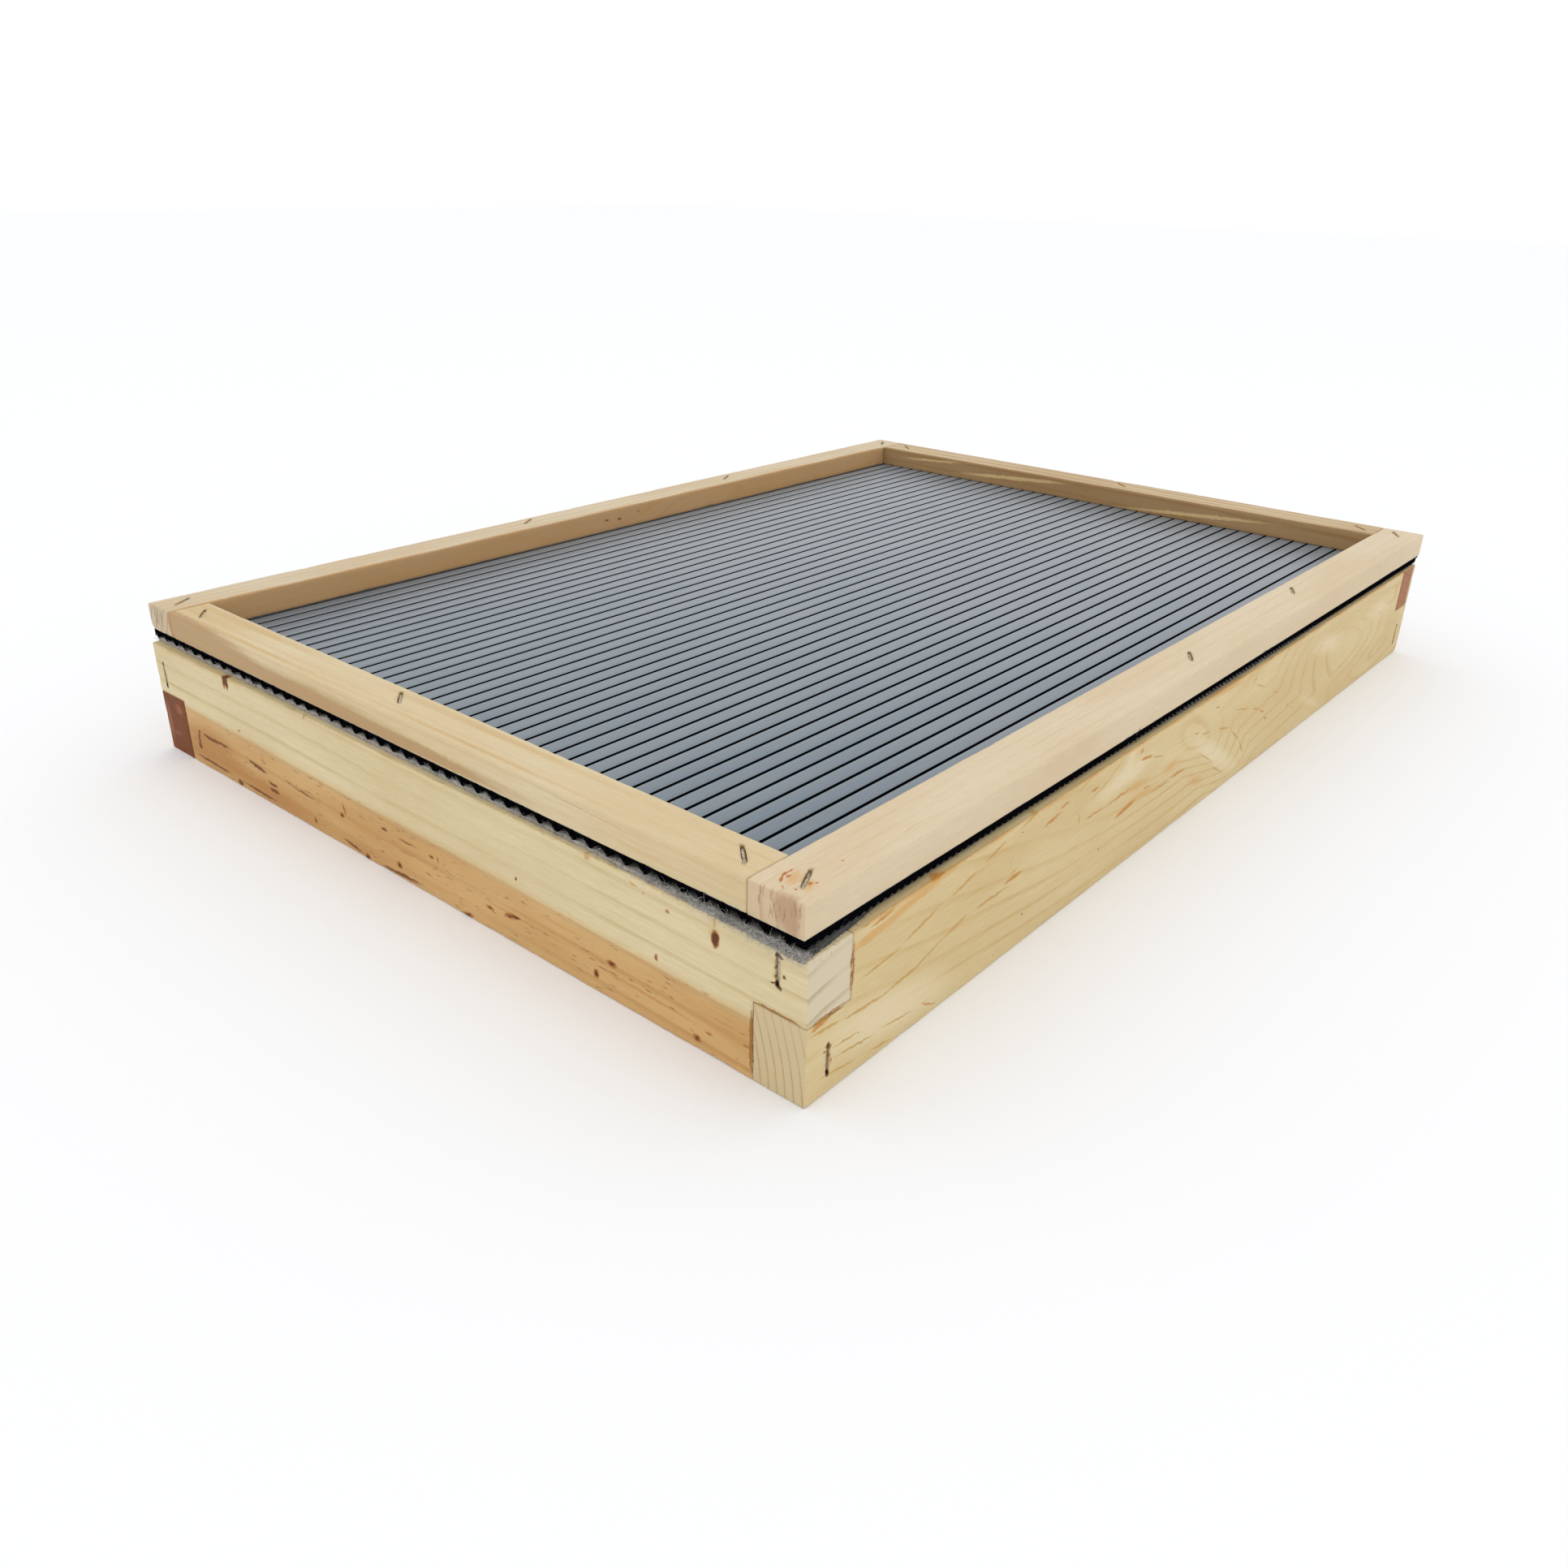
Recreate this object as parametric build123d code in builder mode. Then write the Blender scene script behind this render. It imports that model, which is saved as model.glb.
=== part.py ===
"""Ribbed vent board for an eight-frame beehive.

A shallow pine rim with lapped corners carries a fleece mat and a ribbed plastic sheet, and four pine
battens hold both down. Every piece is held by driven wire staples, so nothing on the board moves.

Frame: +Z up, +X along the long side, origin at the middle of the footprint, on the surface it stands on.
Front is -Y, rear is +Y, left is -X and right is +X. Lengths are in millimetres.
"""

from build123d import *

import math
import os

# ---------------------------------------------------------------- driving dimensions
board_length = 504.8  # 19 7/8 in, the length of every hive body
board_width = 355.6  # 14 in, the width of an eight-frame hive body
stock = 19.05  # 3/4 in board, which the rails are made of

rail_height = 48.0
lower_finger = 26.4  # height of the finger that the long rails keep at each corner
lap_gap = 0.12  # slack all round a lapped corner
rail_arris = 0.5  # easing on the sawn edges

fleece_thickness = 1.7
sheet_thickness = 3.2  # from the lands down to the tips of the ribs
batten_thickness = 11.1  # 7/16 in
batten_widths = {"front": 20.2, "rear": 17.8, "left": 17.4, "right": 19.8}
batten_arris = 0.8
wane_radius = 3.0  # rounded bark edge along the rear batten
layer_shift_x = 1.4  # the fleece, sheet and battens lie this far to the right of the rim
layer_shift_y = 0.8  # and this far to the rear of it
layer_turn = 0.28  # and are turned this many degrees clockwise

rib_count = 46
rib_shift = 1.5  # how far the ribs are from lying evenly across the sheet, towards the rear
sheet_length = board_length - 1.0
sheet_width = board_width - 1.0
land_thickness = 1.0
groove_width = 1.2
groove_foot = 0.5
groove_depth = 2.3
rib_root = 5.8  # width of a rib where it leaves the underside of the lands
rib_tip = 0.9

crown = 9.5  # 3/8 in crown staples, slantwise through the battens and upright in the lapped corners
wire = 1.25
leg_length = 31.75  # 1 1/4 in
leg_bevel = 0.6  # chisel point on each leg, as a share of the wire's thickness
crown_sink = 0.35  # how far a crown is driven below the wood
slot_lift = 0.7  # how far above a crown's back its slot is cut, which opens it through the face
staple_setback = 10.5  # from a batten's end to its end staple
corner_setback = 9.5  # from a long rail's end to the staple in its face

# ---------------------------------------------------------------- sizes that follow
fleece_bottom = rail_height
sheet_bottom = fleece_bottom + fleece_thickness
sheet_top = sheet_bottom + sheet_thickness
board_height = sheet_top + batten_thickness
rib_pitch = sheet_width / rib_count
upper_finger = rail_height - lower_finger
half_length = board_length / 2
half_width = board_width / 2
short_batten_length = board_width - batten_widths["front"] - batten_widths["rear"] - 2 * lap_gap
short_batten_middle = (batten_widths["front"] - batten_widths["rear"]) / 2
rail_line_x = half_length - stock / 2
rail_line_y = half_width - stock / 2

# The rim, and the layer of fleece, sheet and battens, are each modelled about their own centre. These
# places set them down so that the whole board is centred on the origin.
turn = math.radians(layer_turn)
layer_reach_x = half_length * math.cos(turn) + half_width * math.sin(turn)
middle_x = (layer_shift_x + layer_reach_x - half_length) / 2
middle_y = layer_shift_y
rim_place = Location((-middle_x, -middle_y, 0))
layer_place = Location((layer_shift_x - middle_x, layer_shift_y - middle_y, 0), (0, 0, -layer_turn))
layer_in_rim = rim_place.inverse() * layer_place

# Where each batten's staples are: the distance along it from its middle, the distance off its centre
# line towards the outside, and the crown's slant from X in degrees. The outer staples stand a setback
# in from the batten's ends.
long_end = half_length - staple_setback
short_end = short_batten_length / 2 - staple_setback
batten_rows = {
    "front": ((-long_end, 1.6, 26), (-10, 1.2, 30), (104, -2.7, 27), (long_end, -1.0, 32)),
    "rear": ((-long_end, 0.2, 32), (-58, 2.9, 33), (90, 1.5, 30), (long_end, -0.7, 34)),
    "left": ((-short_end, -0.5, 48), (14, -2.2, 51), (short_end, 0, 52)),
    "right": ((-short_end, 0, 48), (-8, 1.5, 53), (short_end, 0, 50)),
}

# The middle height of each corner's two staples: the one in the end face, then the one in the long face.
corner_heights = {
    ("front", "left"): (40.8, 11.6),
    ("front", "right"): (37.5, 11.8),
    ("rear", "left"): (35.0, 12.0),
    ("rear", "right"): (38.5, 11.0),
}

side_signs = {"front": -1, "rear": 1, "left": -1, "right": 1}
base_align = (Align.CENTER, Align.CENTER, Align.MIN)

os.makedirs("parts", exist_ok=True)


def save(builder, name, place):
    """Sets a finished piece down in its place, labels it and writes it as one STEP file."""
    piece = builder.part.moved(place)
    piece.label = name
    export_step(piece, f"parts/{name}.step")


def batten_line(side):
    """How far a batten's centre line is from the middle of its layer."""
    reach = half_width if side in ("front", "rear") else half_length
    return reach - batten_widths[side] / 2


# ---------------------------------------------------------------- staples
def staple(lift=0.0):
    """A wire staple: its crown lies along X with its back at z = 0, and its legs point down.

    lift raises the back of the crown, which gives the cut that a sunk staple leaves."""
    with BuildPart() as body:
        with BuildSketch(Plane.XZ.offset(-wire / 2)):
            with Locations((0, lift)):
                Rectangle(crown, leg_length + lift, align=(Align.CENTER, Align.MAX))
            with Locations((0, -wire)):
                Rectangle(crown - 2 * wire, leg_length, align=(Align.CENTER, Align.MAX), mode=Mode.SUBTRACT)
        extrude(amount=wire)
        tips = body.faces().filter_by(Axis.Z).group_by(Axis.Z)[0].edges().filter_by(Axis.Y).sort_by(Axis.X)
        chamfer((tips[0], tips[-1]), wire * leg_bevel)
    return body.part


def drive(places):
    """Staples at each place, and the cuts that they make in what they are driven through."""
    with BuildPart(mode=Mode.PRIVATE) as driven:
        with Locations(*places):
            add(staple())
    with BuildPart(mode=Mode.PRIVATE) as cuts:
        with Locations(*places):
            add(staple(lift=slot_lift))
    return driven, cuts


def batten_place(side, along, outward, slant):
    """Where a staple is driven down through a batten, in the layer's own frame."""
    across = side_signs[side] * (batten_line(side) + outward)
    if side in ("front", "rear"):
        spot = (along, across, board_height - crown_sink)
    else:
        spot = (across, along, board_height - crown_sink)
    return Location(spot, (0, 0, slant))


def end_face_place(depth, hand, height):
    """An upright staple in a short face, which passes between the legs of the batten staple over it."""
    above = row_places[depth][0 if hand == "left" else -1]
    x = side_signs[hand] * (half_length - crown_sink)
    y = (layer_in_rim * above).position.Y
    return Plane(origin=(x, y, height), x_dir=(0, 0, 1), z_dir=(side_signs[hand], 0, 0)).location


def long_face_place(depth, hand, height):
    """An upright staple in a long face, through the lower finger into the short rail behind it."""
    x = side_signs[hand] * (half_length - corner_setback)
    y = side_signs[depth] * (half_width - crown_sink)
    return Plane(origin=(x, y, height), x_dir=(0, 0, 1), z_dir=(0, side_signs[depth], 0)).location


row_places = {side: [batten_place(side, *spot) for spot in row] for side, row in batten_rows.items()}
batten_cuts = []
for side, places in row_places.items():
    row_staples, row_cuts = drive(places)
    save(row_staples, f"{side}_batten_staples", layer_place)
    batten_cuts.append(row_cuts.part)

corner_cuts = []
for (depth, hand), (end_height, long_height) in corner_heights.items():
    places = [end_face_place(depth, hand, end_height), long_face_place(depth, hand, long_height)]
    pair_of_staples, pair_of_cuts = drive(places)
    save(pair_of_staples, f"{depth}_{hand}_corner_staples", rim_place)
    corner_cuts.append(pair_of_cuts.part)

# ---------------------------------------------------------------- rim of four rails
# The long rails run right through under the corners, and the short rails run right through over them.
for side in ("front", "rear"):
    middle = side_signs[side] * rail_line_y
    with BuildPart() as long_rail:
        with Locations((0, middle, 0)):
            Box(board_length, stock, rail_height, align=base_align)
        with Locations((-half_length, middle, lower_finger), (half_length, middle, lower_finger)):
            Box(2 * (stock + lap_gap), 2 * stock, 2 * upper_finger, align=base_align, mode=Mode.SUBTRACT)
        fillet(long_rail.edges().filter_by(Axis.X), rail_arris)
        add(corner_cuts, mode=Mode.SUBTRACT)
        with Locations(layer_in_rim):
            add(batten_cuts, mode=Mode.SUBTRACT)
    save(long_rail, f"{side}_rail", rim_place)

shoulder = lower_finger + lap_gap
for side in ("left", "right"):
    middle = side_signs[side] * rail_line_x
    with BuildPart() as short_rail:
        with Locations((middle, 0, 0)):
            Box(stock, board_width, rail_height, align=base_align)
        with Locations((middle, -half_width, -shoulder), (middle, half_width, -shoulder)):
            Box(2 * stock, 2 * (stock + lap_gap), 2 * shoulder, align=base_align, mode=Mode.SUBTRACT)
        fillet(short_rail.edges().filter_by(Axis.Y), rail_arris)
        add(corner_cuts, mode=Mode.SUBTRACT)
        with Locations(layer_in_rim):
            add(batten_cuts, mode=Mode.SUBTRACT)
    save(short_rail, f"{side}_rail", rim_place)

# ---------------------------------------------------------------- fleece mat
with BuildPart() as fleece_mat:
    with Locations((0, 0, fleece_bottom)):
        Box(sheet_length, sheet_width, fleece_thickness, align=base_align)
    add(batten_cuts, mode=Mode.SUBTRACT)
save(fleece_mat, "fleece_mat", layer_place)

# ---------------------------------------------------------------- ribbed sheet
# Flat lands with a narrow groove between each pair, and a V-shaped rib under every groove.
rib_lines = [((rib - (rib_count - 1) / 2) * rib_pitch + rib_shift, sheet_top) for rib in range(rib_count)]
with BuildPart() as ribbed_sheet:
    with BuildSketch(Plane.YZ.offset(-sheet_length / 2)):
        with Locations((0, sheet_top)):
            Rectangle(sheet_width, land_thickness, align=(Align.CENTER, Align.MAX))
        with Locations(*rib_lines):
            Polygon(
                (-rib_root / 2, -land_thickness),
                (-rib_tip / 2, -sheet_thickness),
                (rib_tip / 2, -sheet_thickness),
                (rib_root / 2, -land_thickness),
                align=None,
            )
            Polygon(
                (-groove_width / 2, 0),
                (-groove_foot / 2, -groove_depth),
                (groove_foot / 2, -groove_depth),
                (groove_width / 2, 0),
                align=None,
                mode=Mode.SUBTRACT,
            )
        with Locations((0, sheet_top)):
            Rectangle(sheet_width, sheet_thickness, align=(Align.CENTER, Align.MAX), mode=Mode.INTERSECT)
    extrude(amount=sheet_length)
    add(batten_cuts, mode=Mode.SUBTRACT)
save(ribbed_sheet, "ribbed_sheet", layer_place)

# ---------------------------------------------------------------- battens
for side in ("front", "rear"):
    with BuildPart() as long_batten:
        with Locations((0, side_signs[side] * batten_line(side), sheet_top)):
            Box(board_length, batten_widths[side], batten_thickness, align=base_align)
        fillet(long_batten.edges().filter_by(Axis.X).group_by(Axis.Z)[-1], batten_arris)
        feet = long_batten.edges().filter_by(Axis.X).group_by(Axis.Z)[0].sort_by(Axis.Y)
        if side == "rear":
            fillet(feet[-1], wane_radius)
        else:
            fillet(feet[0], batten_arris)
        add(batten_cuts, mode=Mode.SUBTRACT)
    save(long_batten, f"{side}_batten", layer_place)

for side in ("left", "right"):
    with BuildPart() as short_batten:
        with Locations((side_signs[side] * batten_line(side), short_batten_middle, sheet_top)):
            Box(batten_widths[side], short_batten_length, batten_thickness, align=base_align)
        fillet(short_batten.edges().filter_by(Axis.Y).group_by(Axis.Z)[-1], batten_arris)
        add(batten_cuts, mode=Mode.SUBTRACT)
    save(short_batten, f"{side}_batten", layer_place)
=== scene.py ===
"""Looks of the ribbed vent board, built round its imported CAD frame.

The rails and battens are remade as eased, nicked and stained pine with torn slots, the staples as bent
wire, the ribbed sheet with a serrated edge, and the mat as fleece with loose fibres. Sizes are in metres;
the lists of marks on the wood are in millimetres, in the same frame.
"""

import math
import random

import bmesh
import bpy
from mathutils import Matrix, Vector, noise


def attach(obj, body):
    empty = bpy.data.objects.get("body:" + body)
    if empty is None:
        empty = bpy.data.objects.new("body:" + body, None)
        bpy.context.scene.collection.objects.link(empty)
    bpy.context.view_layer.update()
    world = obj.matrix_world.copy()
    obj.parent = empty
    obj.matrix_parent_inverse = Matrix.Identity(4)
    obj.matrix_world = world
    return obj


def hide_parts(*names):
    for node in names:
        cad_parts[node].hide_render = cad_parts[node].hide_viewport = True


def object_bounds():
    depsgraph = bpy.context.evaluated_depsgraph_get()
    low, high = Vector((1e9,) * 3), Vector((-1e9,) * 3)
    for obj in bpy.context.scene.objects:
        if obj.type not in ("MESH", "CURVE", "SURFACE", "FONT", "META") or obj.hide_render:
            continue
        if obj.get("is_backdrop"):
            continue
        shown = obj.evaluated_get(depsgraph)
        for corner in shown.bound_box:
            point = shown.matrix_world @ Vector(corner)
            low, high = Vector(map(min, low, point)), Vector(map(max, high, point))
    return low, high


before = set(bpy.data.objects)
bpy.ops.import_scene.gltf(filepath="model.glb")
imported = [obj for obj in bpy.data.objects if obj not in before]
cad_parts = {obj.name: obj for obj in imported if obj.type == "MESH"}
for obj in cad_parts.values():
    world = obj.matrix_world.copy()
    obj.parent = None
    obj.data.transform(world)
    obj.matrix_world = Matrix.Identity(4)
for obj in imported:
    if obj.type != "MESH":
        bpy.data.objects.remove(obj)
cad_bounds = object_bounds()
noise.seed_set(1)  # without this, vector noise is different in each run

MM = 0.001
SIDES = ("front", "rear", "left", "right")
RIM_TURN = 0.0
LAYER_TURN = math.radians(-0.28)  # the fleece, sheet and battens lie turned this much on the rim
LOWER_FINGER = 26.4 * MM  # height of the finger that the long rails keep at each corner
LAP_GAP = 0.12 * MM
CROWN = 9.5 * MM
WIRE = 1.25 * MM
LEG = 31.75 * MM
WANE = 3 * MM  # radius of the rounded bark edge along the rear batten
RIB_COUNT = 46
RIB_SHIFT = 1.5 * MM  # the ribs lie this much to the rear of evenly across the sheet


# ---------------- reading the frame
def local_box(node, turn):
    """A node's lowest and highest corners, in axes turned about Z."""
    back = Matrix.Rotation(-turn, 3, "Z")
    points = [back @ vertex.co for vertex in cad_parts[node].data.vertices]
    return Vector(map(min, zip(*points))), Vector(map(max, zip(*points)))


def islands(bm):
    """The vertices of each separate solid in a mesh."""
    seen = set()
    for start in bm.verts:
        if start in seen:
            continue
        seen.add(start)
        found = [start]
        for vertex in found:
            for edge in vertex.link_edges:
                other = edge.other_vert(vertex)
                if other not in seen:
                    seen.add(other)
                    found.append(other)
        yield found


def staple_places(node, turn):
    """Each staple of a node: the middle of its crown's back, the way the crown runs and the way in."""
    bm = bmesh.new()
    bm.from_mesh(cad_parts[node].data)
    bmesh.ops.remove_doubles(bm, verts=bm.verts, dist=0.001 * MM)
    places = []
    back = Matrix.Rotation(-turn, 3, "Z")
    for found in islands(bm):
        points = [back @ vertex.co for vertex in found]
        low, high = Vector(map(min, zip(*points))), Vector(map(max, zip(*points)))
        axis = max(range(3), key=lambda i: high[i] - low[i])
        outer = high[axis] if high[axis] + low[axis] > 0 else low[axis]
        inward = Vector((0, 0, 0))
        inward[axis] = -math.copysign(1, outer)
        corners = [p for p in points if abs(p[axis] - outer) < 0.01 * MM]
        first = min(corners, key=lambda p: tuple(p))
        run = min((p - first for p in corners if p != first), key=lambda d: abs(d.length - CROWN))
        places.append((sum(corners, Vector()) / len(corners), run.normalized(), inward))
    bm.free()
    return sorted(places, key=lambda place: tuple(place[0]))


# ---------------- finished pieces
def scene_object(name, data):
    made = bpy.data.objects.new(name, data)
    bpy.context.scene.collection.objects.link(made)
    return made


def bridge(bm, rings):
    """Joins each closed ring of vertices to the next with faces."""
    for one, two in zip(rings, rings[1:]):
        for k in range(len(one)):
            bm.faces.new((one[k - 1], one[k], two[k], two[k - 1]))


def finish_piece(name, bm, turn, material, slot, *nodes, smooth=35):
    """Makes an object of a mesh built in axes turned about Z, and has it stand for its CAD nodes."""
    mesh = bpy.data.meshes.new(name)
    bm.to_mesh(mesh)
    bm.free()
    piece = scene_object(name, mesh)
    piece.rotation_euler.z = turn
    mesh.shade_smooth()
    mesh.set_sharp_from_angle(angle=math.radians(smooth))
    mesh.materials.append(material)
    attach(piece, "root")
    if nodes:
        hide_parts(*nodes)
    return piece


# ---------------- shader building
def srgb(red, green, blue):
    """A colour given as 0 to 255, in the linear values that shaders use."""
    parts = [c / 255 for c in (red, green, blue)]
    return [c / 12.92 if c <= 0.04045 else ((c + 0.055) / 1.055) ** 2.4 for c in parts] + [1.0]


class Shader:
    """A material made of nodes. A number, a colour or another node's socket can go into any input."""

    def __init__(self, name):
        self.material = bpy.data.materials.new(name)
        self.material.use_nodes = True
        self.tree = self.material.node_tree
        self.surface = self.tree.nodes["Principled BSDF"]
        coordinates = self.node("TexCoord")
        self.normal = coordinates.outputs["Normal"]
        self.point = self.vector("SCALE", coordinates.outputs["Object"], scale=1 / MM)

    def node(self, kind, inputs=(), **settings):
        made = self.tree.nodes.new("ShaderNode" + kind)
        for setting, value in settings.items():
            setattr(made, setting, value)
        for key, value in dict(inputs).items():
            self.feed(made.inputs[key], value)
        return made

    def feed(self, socket, value):
        if isinstance(value, bpy.types.NodeSocket):
            self.tree.links.new(value, socket)
        else:
            socket.default_value = value

    def set(self, **inputs):
        for key, value in inputs.items():
            self.feed(self.surface.inputs[key.replace("_", " ")], value)

    def math(self, operation, *values):
        return self.node("Math", enumerate(values), operation=operation).outputs[0]

    def vector(self, operation, *values, scale=None):
        made = self.node("VectorMath", enumerate(values), operation=operation)
        if scale is not None:
            self.feed(made.inputs["Scale"], scale)
        return made.outputs["Value" if operation in ("LENGTH", "DOT_PRODUCT") else "Vector"]

    def parts(self, vector):
        return self.node("SeparateXYZ", {0: vector}).outputs

    def join(self, x, y, z):
        return self.node("CombineXYZ", {0: x, 1: y, 2: z}).outputs[0]

    def noise(self, vector, detail=2.0, roughness=0.5, output=0):
        """Noise whose lumps are about one unit of the vector across."""
        values = {"Vector": vector, "Scale": 1.0, "Detail": detail, "Roughness": roughness}
        return self.node("TexNoise", values).outputs[output]

    def ramp(self, value, low, high, first=0.0, last=1.0):
        """A smooth step from the first value, at low, to the last, at high."""
        values = {"Value": value, "From Min": low, "From Max": high, "To Min": first, "To Max": last}
        return self.node("MapRange", values, interpolation_type="SMOOTHSTEP").outputs[0]

    def mix(self, share, first, second, blend="MIX"):
        made = self.node("Mix", data_type="RGBA", blend_type=blend)
        for index, value in ((0, share), (6, first), (7, second)):
            self.feed(made.inputs[index], value)
        return made.outputs[2]

    def spots(self, vector, marks):
        """The sum of soft ellipsoids, each its weight at the centre and 0 at its reach."""
        total = 0.0
        for centre, reach, turn, weight in marks:
            values = {"Vector": vector, "Location": centre, "Rotation": turn, "Scale": reach}
            inside = self.node("Mapping", values, vector_type="TEXTURE").outputs[0]
            ball = self.node("TexGradient", {0: inside}, gradient_type="SPHERICAL").outputs["Fac"]
            total = self.math("MULTIPLY_ADD", ball, weight, total)
        return total

    def bump(self, height, strength, distance):
        values = {"Height": height, "Strength": strength, "Distance": distance}
        self.feed(self.surface.inputs["Normal"], self.node("Bump", values).outputs[0])


# ---------------- marks on faces, in millimetres
def filled(rows):
    """Each row with its tilt in radians and its weight, which are 0 and 1 unless the row gives them."""
    for row in rows:
        x, y, length, height, tilt, weight = (*row, *(0, 1)[len(row) - 4:])
        yield x, y, length, height, math.radians(tilt), weight


def on_side(level, rows, depth=4):
    """Marks on a face that looks along X: place along Y, height, half length, half height, tilt, weight."""
    return [
        ((level, y, z), (depth, length, height), (tilt, 0, 0), weight)
        for y, z, length, height, tilt, weight in filled(rows)
    ]


def on_front(level, rows, depth=4):
    """The same on a face that looks along Y, by place along X and height."""
    return [
        ((x, level, z), (length, depth, height), (0, -tilt, 0), weight)
        for x, z, length, height, tilt, weight in filled(rows)
    ]


def on_top(level, rows, depth=4):
    """The same on a face that looks up, by place along X and along Y."""
    return [
        ((x, y, level), (length, height, depth), (0, 0, tilt), weight)
        for x, y, length, height, tilt, weight in filled(rows)
    ]


# ---------------- pine
# The first colour rings each staple's slot; the second is painted shade for the holes at its crown's ends.
HALO, HOLE_SHADE = srgb(196, 158, 98), srgb(58, 34, 16)
HALVES = (0.5, 0.5, 0.5)  # the middle of noise, which is taken off to centre it on zero


def slot_marks(places, reach, ends_only=False):
    """Marks over each staple's slot, or over the two holes at its crown's ends: reach is the half width."""
    marks = []
    for middle, run, inward in places:
        turn = run.to_track_quat("X", "Z").to_euler()
        if ends_only:
            for sign in (-1, 1):
                hole = (middle + run * sign * CROWN / 2) / MM
                marks.append((tuple(hole), (reach * 1.3, reach, reach), tuple(turn), 1.0))
        else:
            length = CROWN / MM / 2 + reach * 1.2
            marks.append((tuple(middle / MM), (length, reach, reach), tuple(turn), 1.0))
    return marks


def pine(
    name, along, pith, spacing, contrast, early, late, drift=(0.0, 0.0), wander=3.0, heart=None, bumps=(),
    stains_and_shade=(), ends=(None, None), places=(), hole_shade_strength=0.95,
):
    """Pine with growth rings about its pith, fibres along the grain, and the marks that it is given.

    along is the axis of the grain. pith is across and up from the origin, drift how it moves for each unit
    along, spacing the rings' and wander how far they stray, all in millimetres. early and late are the
    colours between and in the rings. heart is the heartwood's radius with its two colours. bumps push the
    rings out. Each coloured mark, among them painted shade over two battens' inner faces, is a colour, the
    field values between which it comes in, its strength and its marks. ends are, for each end, the end
    grain's colour, its strength and the colour of its rings. places are the staples, and
    hole_shade_strength how dark the painted shade in the holes at their crowns' ends is."""
    s = Shader(name)
    x, y, z = s.parts(s.point)
    run, across = (x, y) if along == "X" else (y, x)
    seed = sum(map(ord, name)) % 97 * 10.0
    slow_run = s.math("MULTIPLY_ADD", run, 0.011, seed)
    slow = s.join(slow_run, s.math("MULTIPLY", across, 0.04), s.math("MULTIPLY", z, 0.04))
    sway = s.vector("SUBTRACT", s.noise(slow, 2.0, 0.45, output=1), HALVES)
    sway_x, sway_y, sway_z = s.parts(sway)
    stretched = s.join(s.math("MULTIPLY_ADD", run, 0.035, seed), across, z)
    fibre = s.noise(s.vector("SCALE", stretched, scale=1.3), 4.0, 0.6)
    fine = s.noise(s.vector("MULTIPLY", stretched, (4.0, 5.0, 5.0)), 3.0, 0.65)

    # growth rings
    side = s.math("SUBTRACT", across, s.math("MULTIPLY_ADD", run, drift[0], pith[0]))
    up = s.math("SUBTRACT", z, s.math("MULTIPLY_ADD", run, drift[1], pith[1]))
    radius = s.vector("LENGTH", s.join(0.0, side, up))
    radius = s.math("MULTIPLY_ADD", sway_x, wander, radius)
    if bumps:
        radius = s.math("ADD", radius, s.spots(s.point, bumps))
    radius = s.math("MULTIPLY_ADD", fibre, 0.5, radius)
    phase = s.math("FRACT", s.math("DIVIDE", radius, spacing))
    line = s.math("MULTIPLY", s.ramp(phase, 0.62, 0.93), s.ramp(phase, 0.93, 1.0, 1.0, 0.0))
    fading = s.ramp(sway_y, -0.18, 0.14, 0.25, 1.0)
    line = s.math("MULTIPLY", s.math("MULTIPLY", line, fading), s.ramp(fibre, 0.25, 0.6, 0.55, 1.0))
    colour = s.mix(s.math("MULTIPLY", line, contrast), early, late)

    # broad shifts of tone, then the fibres
    tone = s.ramp(sway_z, -0.2, 0.2)
    colour = s.mix(s.math("MULTIPLY", tone, 0.35), colour, late)
    if heart:
        heart_radius, heart_colour, heart_deep = heart
        edge = s.math("MULTIPLY_ADD", fibre, 2.5, radius)
        inside = s.ramp(edge, heart_radius - 1.6, heart_radius + 4.4, 1.0, 0.0)
        deep = s.mix(s.ramp(s.math("ADD", line, tone), 0.2, 1.3), heart_colour, heart_deep)
        colour = s.mix(inside, colour, deep)
        dashes = s.noise(s.vector("MULTIPLY", stretched, (5.5, 1.15, 1.15)), 1.0, 0.5)
        dash = s.math("MULTIPLY", s.ramp(dashes, 0.66, 0.76), inside)
        colour = s.mix(s.math("MULTIPLY", dash, 0.7), colour, srgb(118, 76, 42))
    colour = s.mix(s.ramp(fibre, 0.3, 0.75, 0.0, 0.22), colour, late)
    colour = s.mix(s.ramp(fine, 0.35, 0.75, 0.16, 0.0), colour, srgb(132, 98, 58))
    height = s.math("MULTIPLY_ADD", fine, 0.5, s.math("MULTIPLY_ADD", line, 0.3, fibre))

    for end, sign in zip(ends, (-1, 1)):
        if end:
            facing = s.vector("DOT_PRODUCT", s.normal, (sign, 0, 0) if along == "X" else (0, sign, 0))
            sawn = s.noise(s.vector("MULTIPLY", s.point, (1.6, 1.6, 0.25)), 3.0, 0.7)
            wood, strength, ring = end
            cover = s.ramp(sawn, 0.2, 0.7, strength, min(1.0, strength * 1.25))
            amount = s.math("MULTIPLY", s.ramp(facing, 0.55, 0.85), cover)
            colour = s.mix(amount, colour, s.mix(s.math("MULTIPLY", line, 0.8), wood, ring))

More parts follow.
